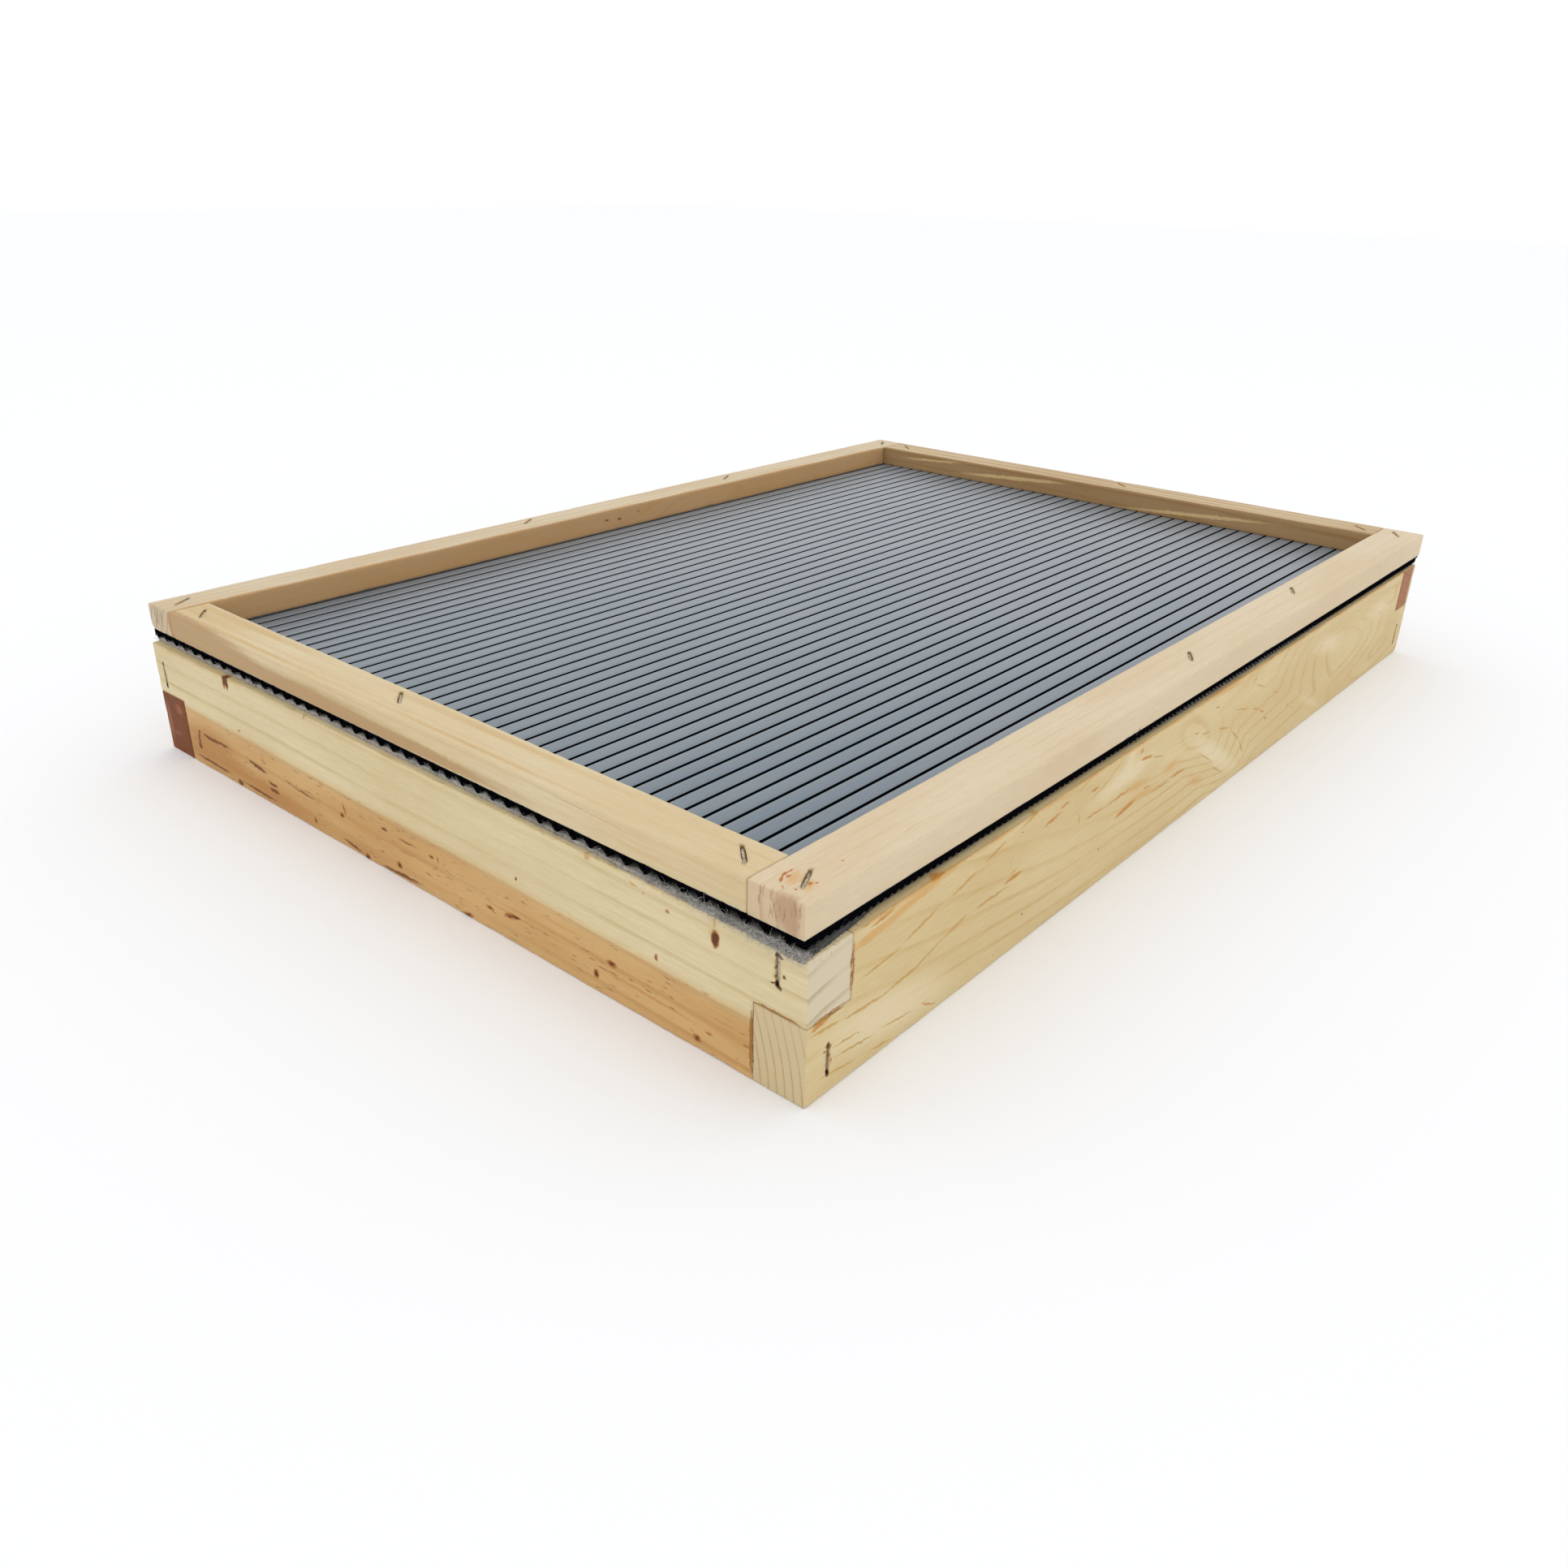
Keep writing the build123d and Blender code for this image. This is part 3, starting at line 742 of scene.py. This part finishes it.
left_batten_pine = pine(
    "left_batten_pine", "Y", (-262, 44), 4.4, 0.3, srgb(222, 207, 171), srgb(204, 172, 120), wander=2.2,
    drift=(0.006, 0.0),
    stains_and_shade=(
        (srgb(196, 160, 104), 0.0, 0.9, 0.6, on_top(BATTEN_TOP, [
            (-249.5, 110, 1.8, 90), (-238, 120, 3, 80), (-243.5, 150, 9, 70, 0, 0.9),
            (-249.3, -40, 1.5, 90, 0, 0.9), (-238.4, -40, 2.6, 100, 0, 0.8)], depth=3)),
        (srgb(168, 132, 88), 0.0, 0.8, 0.75, on_side(tops["left"][0].x / MM, [
            (160, 58, 75, 11, 0, 2.2), (60, 56, 90, 6, 0, 1.1), (-20, 55.4, 70, 3.4, 0, 0.9),
            (-95, 61.6, 34, 0.4, 2, 0.5)])),
    ),
    places=row_places["left"], hole_shade_strength=0.35,
)
right_batten_pine = pine(
    "right_batten_pine", "Y", (205, 22), 5.0, 0.9, srgb(210, 190, 153), srgb(166, 124, 74), wander=4.0,
    drift=(0.05, -0.03),
    stains_and_shade=(
        # painted shade over the whole inner face of the right batten
        (srgb(150, 112, 66), 0.0, 0.35, 0.7, on_side(tops["right"][0].x / MM, [
            (y, 58.5, 50, 9) for y in (-140, -80, -20, 40, 100, 150)], depth=2.6)),
        (srgb(226, 196, 142), 0.2, 0.7, 0.7, on_side(tops["right"][0].x / MM, [
            (60, 59, 60, 1.8, -4), (-60, 57, 70, 1.6, -4), (120, 61, 40, 1.2, -4, 0.9)])),
    ),
    places=row_places["right"], hole_shade_strength=0.35,
)


# ---------------- the eight pieces of pine
def rounded_foot(bm, low, high, radius=5 * MM):
    """Wears the lower right-hand corner of a rail round."""
    centre_x, centre_z = high.x - radius, low.z + radius
    for vertex in bm.verts:
        dx, dz = vertex.co.x - centre_x, centre_z - vertex.co.z
        away = math.hypot(dx, dz)
        if dx > 0 and dz > 0 and away > radius:
            vertex.co.x = centre_x + dx * radius / away
            vertex.co.z = centre_z - dz * radius / away


def lower_rear_edge(edge):
    """Whether an edge is the rear batten's lower outer one, which was under the bark."""
    low, high = tops["rear"]
    return all(v.co.y > high.y - 1e-6 and v.co.z < low.z + 1e-6 for v in edge.verts)


RAIL_PINES = dict(zip(SIDES, (front_pine, rear_pine, left_pine, right_pine)))
BATTEN_PINES = dict(zip(SIDES, (front_batten_pine, rear_batten_pine, left_batten_pine, right_batten_pine)))
RAIL_HOLLOWS = {  # splits and knot holes: centre, axes, half length, half depth, half height, raggedness
    "front": (
        ((-224, FRONT_FACE, 48.6), (X, Y, Z), (9, 0.5, 1.4), 0.5),
        ((-202, FRONT_FACE, 48.8), (X, Y, Z), (10, 0.6, 0.9), 0.5),
        ((-150, FRONT_FACE, 48.5), (X, Y, Z), (18, 0.4, 0.7), 0.4),
    ),
    "rear": (((LEFT_FACE, 168, 5.2), (Y, X, Z), (11, 0.8, 0.28), 0.2),),
    "left": (
        ((LEFT_FACE, 117.5, 46.4), (Y, X, Z), (1.5, 1.2, 2.4), 0.3),
        ((LEFT_FACE, -145.6, 40.2), (Y, X, Z), (0.9, 1.1, 1.9), 0.3),
    ),
    "right": (),
}

for number, side in enumerate(SIDES):
    along = 0 if side in ("front", "rear") else 1
    low, high = rims[side]
    outline = notched(low, high, along, stock + LAP_GAP, open_up=along == 0)
    rail = timber(outline, low[1 - along], high[1 - along], along, 0.5 * MM)
    wear(rail, number + 1, 0.5)
    if side == "front":
        rounded_foot(rail, low, high)
    rail = cut_slots(rail, corner_slots(side), RAIL_HOLLOWS[side])
    finish_piece(f"{side}_rail_pine", rail, RIM_TURN, RAIL_PINES[side], "rail_pine", f"{side}_rail")

for number, side in enumerate(SIDES):
    along = 0 if side in ("front", "rear") else 1
    low, high = tops[side]
    start, stop = low[along], high[along]
    outline = [(start, low.z), (stop, low.z), (stop, high.z), (start, high.z)]
    wane = lower_rear_edge if side == "rear" else None
    batten = timber(outline, low[1 - along], high[1 - along], along, 0.6 * MM, wane=wane)
    wear(batten, number + 11, 0.3)
    batten = cut_slots(batten, row_places[side])
    name = f"{side}_batten_pine"
    finish_piece(name, batten, LAYER_TURN, BATTEN_PINES[side], "batten_pine", f"{side}_batten")


# ---------------- staples
def wire_material():
    s = Shader("galvanised_wire")
    cloud = s.noise(s.vector("SCALE", s.point, scale=0.9), 4.0, 0.6)
    grit = s.noise(s.vector("SCALE", s.point, scale=6.0), 2.0, 0.7)
    colour = s.mix(s.ramp(cloud, 0.35, 0.7), srgb(190, 184, 162), srgb(122, 114, 88))
    colour = s.mix(s.ramp(grit, 0.55, 0.8, 0.0, 0.7), colour, srgb(210, 208, 196))
    s.set(Base_Color=colour, Metallic=0.6, Roughness=s.ramp(cloud, 0.3, 0.8, 0.32, 0.6))
    s.bump(grit, 0.3, 0.05 * MM)
    return s.material


def bent_staple(bm, place, seed):
    """Adds one staple of slightly flattened wire, with rounded shoulders and chiselled points."""
    middle, run, inward = place
    side = inward.cross(run)
    half, bend = CROWN / 2 - WIRE / 2, 1.1 * MM
    line = [(-half, LEG - WIRE / 2), (-half, LEG / 2)]
    for i in range(7):
        turn = math.pi / 2 * i / 6
        line.append((-half + bend * (1 - math.cos(turn)), bend * (1 - math.sin(turn))))
    line += [(half * t, 0.12 * MM * (1 - t * t)) for t in (-0.5, -0.25, 0, 0.25, 0.5)]
    line += [(-x, y) for x, y in reversed(line[:9])]
    shift = Vector((seed * 3.3, seed * 1.7, 0))
    rings = []
    for i, (x, depth) in enumerate(line):
        before, after = line[max(i - 1, 0)], line[min(i + 1, len(line) - 1)]
        ahead = Vector((after[0] - before[0], after[1] - before[1])).normalized()
        out = Vector((ahead.y, -ahead.x))
        size = 0.35 if i in (0, len(line) - 1) else 1.0
        ring = []
        for k in range(12):
            angle = math.tau * k / 12
            round_side = math.copysign(abs(math.cos(angle)) ** 0.7, math.cos(angle)) * WIRE / 2
            round_out = math.copysign(abs(math.sin(angle)) ** 0.7, math.sin(angle)) * WIRE / 2 * size
            lump = 1 + 0.08 * noise.noise(Vector((x / MM, depth / MM, k)) * 0.8 + shift)
            flat = Vector((x, depth + WIRE / 2)) + out * round_out * lump
            ring.append(bm.verts.new(middle + run * flat.x + inward * flat.y + side * round_side * lump))
        rings.append(ring)
    bridge(bm, rings)
    bm.faces.new(rings[0])
    bm.faces.new(rings[-1][::-1])


wire_metal = wire_material()
staple_nodes = [(f"{side}_batten_staples", places, LAYER_TURN) for side, places in row_places.items()]
staple_nodes += [(f"{corner}_corner_staples", places, RIM_TURN) for corner, places in corner_places.items()]
for number, (node, places, turn) in enumerate(staple_nodes):
    staples = bmesh.new()
    for count, place in enumerate(places):
        bent_staple(staples, place, number * 10 + 3 * count % 7)
    bmesh.ops.recalc_face_normals(staples, faces=staples.faces)
    finish_piece(f"{node}_wire", staples, turn, wire_metal, "staple_wire", node, smooth=50)


# ---------------- ribbed sheet
def spread(low, high, fine, coarse, margin):
    """Places from low to high that are close together near both ends."""
    places = [low]
    while places[-1] < high:
        step = fine if min(places[-1] - low, high - places[-1]) < margin else coarse
        places.append(places[-1] + step)
    return places[:-1] + [high]


sheet_low, sheet_high = local_box("ribbed_sheet", LAYER_TURN)
pitch = (sheet_high.y - sheet_low.y) / RIB_COUNT
LAND = 1.0 * MM  # thickness of the sheet between its ribs
TOOTH = 3.2 * MM  # pitch of the small teeth along the long edges
PRESSED = 0.3 * MM  # how far the ribs' ends sink into the fleece
GROOVE_HALF, GROOVE_FOOT, GROOVE_DEPTH = 0.68 * MM, 0.28 * MM, 2.3 * MM
RIB_HALF, TIP_HALF = 2.9 * MM, 0.45 * MM


def sheet_material():
    s = Shader("ribbed_plastic")
    x, y, z = s.parts(s.point)
    land = s.ramp(z, sheet_high.z / MM - 0.16, sheet_high.z / MM - 0.09)
    cloud = s.noise(s.vector("MULTIPLY", s.point, (0.01, 0.03, 0.03)), 3.0, 0.6)
    drawn = s.noise(s.vector("MULTIPLY", s.point, (0.02, 1.6, 1.6)), 3.0, 0.6)
    grain = s.noise(s.vector("SCALE", s.point, scale=2.4), 3.0, 0.7)
    # the lands' blue-grey is a painted reflection of the bright room on the black plastic; below them the
    # sheet stays black
    top = s.mix(s.ramp(cloud, 0.35, 0.65), srgb(87, 103, 116), srgb(99, 112, 122))
    # painted reflection: the lands grow lighter towards the rear and right, where they are seen at a
    # grazing angle
    top = s.mix(s.ramp(s.math("ADD", x, y), -340, 300, 0.0, 0.5), top, srgb(152, 157, 163))
    top = s.mix(s.ramp(drawn, 0.35, 0.75, 0.0, 0.12), top, srgb(90, 102, 114))
    top = s.mix(s.ramp(grain, 0.6, 0.85, 0.0, 0.3), top, srgb(160, 166, 172))
    dust = s.noise(s.vector("SCALE", s.point, scale=0.9), 2.0, 0.6)
    top = s.mix(s.ramp(dust, 0.765, 0.8, 0.0, 0.7), top, srgb(214, 214, 208))
    colour = s.mix(land, srgb(8, 8, 10), top)
    s.set(Base_Color=colour, Roughness=s.ramp(grain, 0.3, 0.7, 0.3, 0.42), Specular_IOR_Level=land)
    s.bump(s.math("MULTIPLY_ADD", grain, 0.4, drawn), 0.25, 0.04 * MM)
    return s.material


def sheet_section():
    """The sheet's section: points across it, each with the height of its top and of its underside."""
    top, under = sheet_high.z, sheet_high.z - LAND
    tip = sheet_low.z
    rows = []
    for rib in range(RIB_COUNT):
        middle = sheet_low.y + pitch * (rib + 0.5)
        half = [
            (pitch / 2, top, under),
            (RIB_HALF, top, under),
            (GROOVE_HALF + 0.18 * MM, top, tip + 0.42 * MM),
            (GROOVE_HALF + 0.04 * MM, top - 0.06 * MM, tip + 0.2 * MM),
            (TIP_HALF, top - 0.9 * MM, tip),
            (GROOVE_FOOT, top - GROOVE_DEPTH, tip),
        ]
        left = [(middle - away, high, low) for away, high, low in half]
        right = [(middle + away, high, low) for away, high, low in reversed(half)]
        rows += left[1:] if rows else left  # a rib starts at the point where the last one ends
        rows += right
    return shifted(rows)


def shifted(rows):
    """The section moved to the rear by the ribs' shift, and trimmed at the sheet's rear edge."""
    rows = [(y + RIB_SHIFT, high, low) for y, high, low in rows]
    kept = [row for row in rows if row[0] < sheet_high.y - 0.01 * MM]
    edge_low = kept[-1][2]
    return [(sheet_low.y, *rows[0][1:]), *kept, (sheet_high.y, sheet_high.z, edge_low)]


def ribbed_sheet():
    """The sheet, whose rib ends are pressed a little into the fleece."""
    bm = bmesh.new()
    rows = sheet_section()
    columns = []
    for x in spread(sheet_low.x, sheet_high.x, 1.2 * MM, 14 * MM, 5 * MM):
        press = max(0.0, 1 - min(x - sheet_low.x, sheet_high.x - x) / (3 * MM))
        column = []
        for y, high, low in rows:
            lift = 0.05 * MM * noise.noise(Vector((x / MM * 0.02, y / MM * 0.03, 4.0)))
            drop = PRESSED * press * (sheet_high.z - LAND - low) / (sheet_high.z - LAND - sheet_low.z)
            column.append((bm.verts.new((x, y, high - abs(lift))), bm.verts.new((x, y, low - drop))))
        columns.append(column)
    for one, two in zip(columns, columns[1:]):
        for k in range(1, len(rows)):
            bm.faces.new((one[k - 1][0], two[k - 1][0], two[k][0], one[k][0]))
            bm.faces.new((one[k - 1][1], one[k][1], two[k][1], two[k - 1][1]))
        for k in (0, -1):
            bm.faces.new((one[k][0], one[k][1], two[k][1], two[k][0]))
    for column in (columns[0], columns[-1]):
        for k in range(1, len(rows)):
            bm.faces.new((column[k - 1][0], column[k][0], column[k][1], column[k - 1][1]))
    serrate(bm)
    bmesh.ops.recalc_face_normals(bm, faces=bm.faces)
    return bm


def serrate(bm):
    """Adds the row of small teeth under each long edge of the sheet."""
    count = int((sheet_high.x - sheet_low.x) / TOOTH)
    for edge, sign in ((sheet_low.y, 1), (sheet_high.y, -1)):
        near, far = edge + sign * 0.3 * MM, edge + sign * 3.0 * MM
        for i in range(count):
            x = sheet_low.x + TOOTH * i
            drop = sheet_low.z - 0.3 * MM
            roof = sheet_high.z - LAND + 0.1 * MM
            shape = [(x, roof), (x + TOOTH, roof), (x + TOOTH, drop + 0.9 * MM)]
            shape += [(x + TOOTH * 0.6, drop), (x + TOOTH * 0.4, drop), (x, drop + 0.9 * MM)]
            front = [bm.verts.new((a, near, b)) for a, b in shape]
            back = [bm.verts.new((a, far, b)) for a, b in shape]
            bm.faces.new(front)
            bm.faces.new(back[::-1])
            bridge(bm, (front, back))


plastic = sheet_material()
finish_piece("ribbed_sheet_plastic", ribbed_sheet(), LAYER_TURN, plastic, "sheet_plastic", "ribbed_sheet")


# ---------------- fleece
mat_low, mat_high = local_box("fleece_mat", LAYER_TURN)
FIBRES = 4200


def fleece_material(name, light, dark):
    """Matted fibres, with painted shade over all but the strip along the mat's left-hand end."""
    s = Shader(name)
    cloud = s.noise(s.vector("SCALE", s.point, scale=0.12), 4.0, 0.65)
    curls = s.noise(s.vector("SCALE", s.point, scale=1.1), 5.0, 0.7)
    swirled = s.vector("ADD", s.point, s.noise(s.point, 2.0, 0.5, output=1))
    hairs = s.noise(s.vector("MULTIPLY", swirled, (3.0, 0.8, 3.0)), 3.0, 0.8)
    colour = s.mix(s.ramp(s.math("MULTIPLY_ADD", cloud, 0.5, curls), 0.45, 0.95), dark, light)
    colour = s.mix(s.ramp(hairs, 0.55, 0.75, 0.0, 0.5), colour, light)
    x, y, z = s.parts(s.point)
    # painted shade: beyond about 3 mm in from the mat's left-hand end the colour goes nearly black
    under = s.ramp(x, mat_low.x / MM + 0.6, mat_low.x / MM + 3.0)
    colour = s.mix(under, colour, srgb(40, 38, 36))
    s.set(Base_Color=colour, Roughness=0.95, Specular_IOR_Level=0.15)
    s.set(Sheen_Weight=0.35, Sheen_Roughness=0.6)
    s.bump(s.math("MULTIPLY_ADD", hairs, 0.6, curls), 0.8, 0.35 * MM)
    return s.material


def fluff(x, y):
    """How loose the mat's edge is there, from 0 to 1: loosest at the front left-hand corner."""
    away = math.hypot(max(0.0, x - mat_low.x) * 2.4, max(0.0, y - mat_low.y))
    return max(0.0, 1 - away / (85 * MM))


def fleece_mat():
    bm = bmesh.new()
    xs = spread(mat_low.x, mat_high.x, 0.9 * MM, 7 * MM, 7 * MM)
    ys = [mat_low.y + pitch * i / 5 for i in range(RIB_COUNT * 5 + 1)]
    middle = (mat_low + mat_high) / 2

    def skin(x, y, upper):
        """Where the mat's upper or lower skin is: it bulges between the ribs' ends and draws in or out."""
        near_end = min(x - mat_low.x, mat_high.x - x)
        near_side = min(y - mat_low.y, mat_high.y - y)
        loose = fluff(x, y)
        p = Vector((x, y, upper)) / MM
        lump = noise.noise(p * 0.5) * 0.18 + noise.noise(p * 1.7) * 0.10
        at_end, at_side = (max(0.0, 1 - near / (4.5 * MM)) for near in (near_end, near_side))
        spot = Vector((x, y, mat_high.z if upper else mat_low.z))
        spot.x += math.copysign(at_end, x - middle.x) * (2.0 * loose - 0.35 + lump) * MM
        spot.y += math.copysign(at_side, y - middle.y) * (2.9 * loose - 1.6 + lump) * MM
        if upper:
            between = abs(math.cos(math.pi * (y - mat_low.y - RIB_SHIFT) / pitch)) ** 1.5
            spot.z += at_end * (0.5 * between * (1 - loose) - 0.5 * (1 + loose) + lump) * MM
            spot.z -= max(0.0, 1 - near_end / (25 * MM)) * 0.4 * loose * MM
            spot.z += at_side * (lump - 0.3) * MM
        else:
            spot.z += lump * 0.4 * (1 - max(at_end, at_side)) * MM
        return spot

    sheets = []
    for upper in (True, False):
        sheets.append([[bm.verts.new(skin(x, y, upper)) for y in ys] for x in xs])
    top, bottom = sheets
    for i in range(1, len(xs)):
        for j in range(1, len(ys)):
            bm.faces.new((top[i - 1][j - 1], top[i][j - 1], top[i][j], top[i - 1][j]))
            bm.faces.new((bottom[i - 1][j - 1], bottom[i - 1][j], bottom[i][j], bottom[i][j - 1]))
    last_x, last_y = len(xs) - 1, len(ys) - 1
    border = [(i, 0) for i in range(last_x)] + [(last_x, j) for j in range(last_y)]
    border += [(i, last_y) for i in range(last_x, 0, -1)] + [(0, j) for j in range(last_y, 0, -1)]
    bands = [[bottom[i][j] for i, j in border]]
    for level in (0.2, 0.5, 0.8):
        band = []
        for i, j in border:
            x, y = xs[i], ys[j]
            loose = fluff(x, y)
            p = Vector((x, y, level * 5 * MM)) / MM
            out = Vector((x - middle.x, 0, 0)) if i in (0, last_x) else Vector((0, y - middle.y, 0))
            if i in (0, last_x) and j in (0, last_y):
                out = Vector((x - middle.x, y - middle.y, 0))
            reach = (0.1 + 0.3 * noise.noise(p * 0.35) + 0.35 * noise.noise(p * 1.3)) * (1 + 1.6 * loose)
            spot = bottom[i][j].co.lerp(top[i][j].co, level) + out.normalized() * reach * MM
            spot.z += (level - 0.9) * 0.8 * loose * MM
            band.append(bm.verts.new(spot))
        bands.append(band)
    bands.append([top[i][j] for i, j in border])
    bridge(bm, bands)
    bmesh.ops.recalc_face_normals(bm, faces=bm.faces)
    return bm


def fibre(bm, root, heading, length, thick, rng):
    """Adds one curled fibre, a thin three-sided tube."""
    rings = []
    spot, way = root.copy(), heading.normalized()
    steps = 4
    for step in range(steps + 1):
        side = way.orthogonal().normalized()
        up = way.cross(side)
        radius = thick * (1 - 0.7 * step / steps)
        turns = [side * math.cos(angle) + up * math.sin(angle) for angle in (0, 2.1, 4.2)]
        rings.append([bm.verts.new(spot + turn * radius) for turn in turns])
        way = (way + Vector([rng.uniform(-0.75, 0.75) for _ in range(3)])).normalized()
        spot += way * length / steps
    bridge(bm, rings)
    bm.faces.new(rings[0][::-1])
    bm.faces.new(rings[-1])


def squeezed_tufts(bm):
    """Adds beads of fleece that show between the small teeth along the middle of the front edge."""
    middle, reach = 20 * MM, 95 * MM
    for i in range(int((sheet_high.x - sheet_low.x) / TOOTH)):
        x = sheet_low.x + TOOTH * (i + 1)
        strength = 1 - abs(x - middle) / reach + 0.3 * noise.noise(Vector((x / MM * 0.4, 0, 0)))
        if strength > 0:
            size = (0.35 + 0.4 * min(1.0, 2 * strength)) * MM
            centre = Vector((x, sheet_low.y + 0.35 * MM, sheet_low.z + 0.1 * MM))
            torn_ball(bm, centre, (X, Y, Z), (size * 1.3, size, size), i, 0.25, square=1.0)


def loose_fibres():
    """Fibres round the mat's edge, thickest at the loose corner, and one curl over the front batten."""
    rng = random.Random(20)
    bm = bmesh.new()
    squeezed_tufts(bm)
    curl_root = Vector((-68 * MM, sheet_low.y - 0.1 * MM, sheet_low.z + 2.2 * MM))
    fibre(bm, curl_root, Vector((0.2, -0.5, 1)), 4.5 * MM, 0.16 * MM, rng)
    made = 0
    while made < FIBRES:
        chance = rng.random()
        if chance < 0.5:
            edge, out = Vector((mat_low.x, rng.uniform(mat_low.y, mat_high.y), 0)), -X
        elif chance < 0.75:
            edge, out = Vector((rng.uniform(mat_low.x, mat_high.x), mat_low.y, 0)), -Y
        elif chance < 0.87:
            edge, out = Vector((mat_high.x, rng.uniform(mat_low.y, mat_high.y), 0)), X
        else:
            edge, out = Vector((rng.uniform(mat_low.x, mat_high.x), mat_high.y, 0)), Y
        loose = fluff(edge.x, edge.y)
        if rng.random() > 0.28 + 1.1 * loose:
            continue
        made += 1
        drawn = 2.0 * loose - 0.35 if out.x else 2.9 * loose - 1.6
        edge.z = rng.uniform(mat_low.z + 0.2 * MM, mat_high.z + 0.4 * MM)
        root = edge + out * (drawn - rng.uniform(0.0, 0.8)) * MM
        along = Vector((out.y, out.x, 0)) * rng.choice((-1, 1))
        heading = out * rng.uniform(0.1, 0.7) + along * rng.uniform(0.3, 1.0)
        heading.z = rng.uniform(-0.5, 0.35) - 0.3 * loose
        length = rng.uniform(1.2, 3.0) * (1 + 0.8 * loose) * MM
        fibre(bm, root, heading, length, rng.uniform(0.04, 0.075) * MM, rng)
    return bm


felt = fleece_material("fleece", srgb(172, 166, 157), srgb(78, 72, 65))
hair = fleece_material("fleece_fibre", srgb(214, 211, 206), srgb(120, 115, 108))
mat = finish_piece("fleece_mat_felt", fleece_mat(), LAYER_TURN, felt, "fleece_felt", "fleece_mat")
hairs = finish_piece("fleece_mat_fibres", loose_fibres(), LAYER_TURN, hair, "fleece_felt")


# ---------------- stage, light and camera
def stage_floor():
    bm = bmesh.new()
    bmesh.ops.create_grid(bm, x_segments=8, y_segments=8, size=6.0)
    mesh = bpy.data.meshes.new("floor")
    bm.to_mesh(mesh)
    bm.free()
    floor = scene_object("floor", mesh)
    floor.location.z = cad_bounds[0].z - 0.05 * MM
    s = Shader("white_floor")
    s.set(Base_Color=(0.925, 0.932, 0.95, 1.0), Roughness=0.9, Specular_IOR_Level=0.1)
    mesh.materials.append(s.material)
    floor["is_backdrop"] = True


def lamp():
    light = bpy.data.lights.new("lamp", "AREA")
    light.shape = "DISK"
    light.size = 1.2
    light.energy = 1.0
    made = scene_object("lamp", light)
    made.location = (-0.1, -0.4, 1.9)
    made.rotation_euler = (-Vector(made.location)).to_track_quat("-Z", "Y").to_euler()


def studio():
    """Even light from a white room, with a soft lamp overhead."""
    world = bpy.data.worlds.new("studio")
    world.use_nodes = True
    background = world.node_tree.nodes["Background"]
    background.inputs["Color"].default_value = (1.0, 1.0, 1.0, 1.0)
    background.inputs["Strength"].default_value = 1.06
    bpy.context.scene.world = world
    lamp()
    bpy.context.scene.view_settings.view_transform = "Standard"


def camera():
    """The camera stands off the front left-hand corner, looking down at the board with a slight roll."""
    lens = bpy.data.cameras.new("camera")
    lens.sensor_width = 36.0
    lens.lens = 29.31
    eye = Vector((-0.4686, -0.3495, 0.2318))
    target = Vector((-0.1021, -0.0420, 0.0))
    roll = math.radians(1.17)
    shooter = scene_object("camera", lens)
    aim = (target - eye).to_track_quat("-Z", "Y").to_matrix()
    shooter.matrix_world = Matrix.Translation(eye) @ (aim @ Matrix.Rotation(roll, 3, "Z")).to_4x4()
    bpy.context.scene.camera = shooter


stage_floor()
studio()
camera()

corners = [[list(corner) for corner in box] for box in (cad_bounds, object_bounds())]
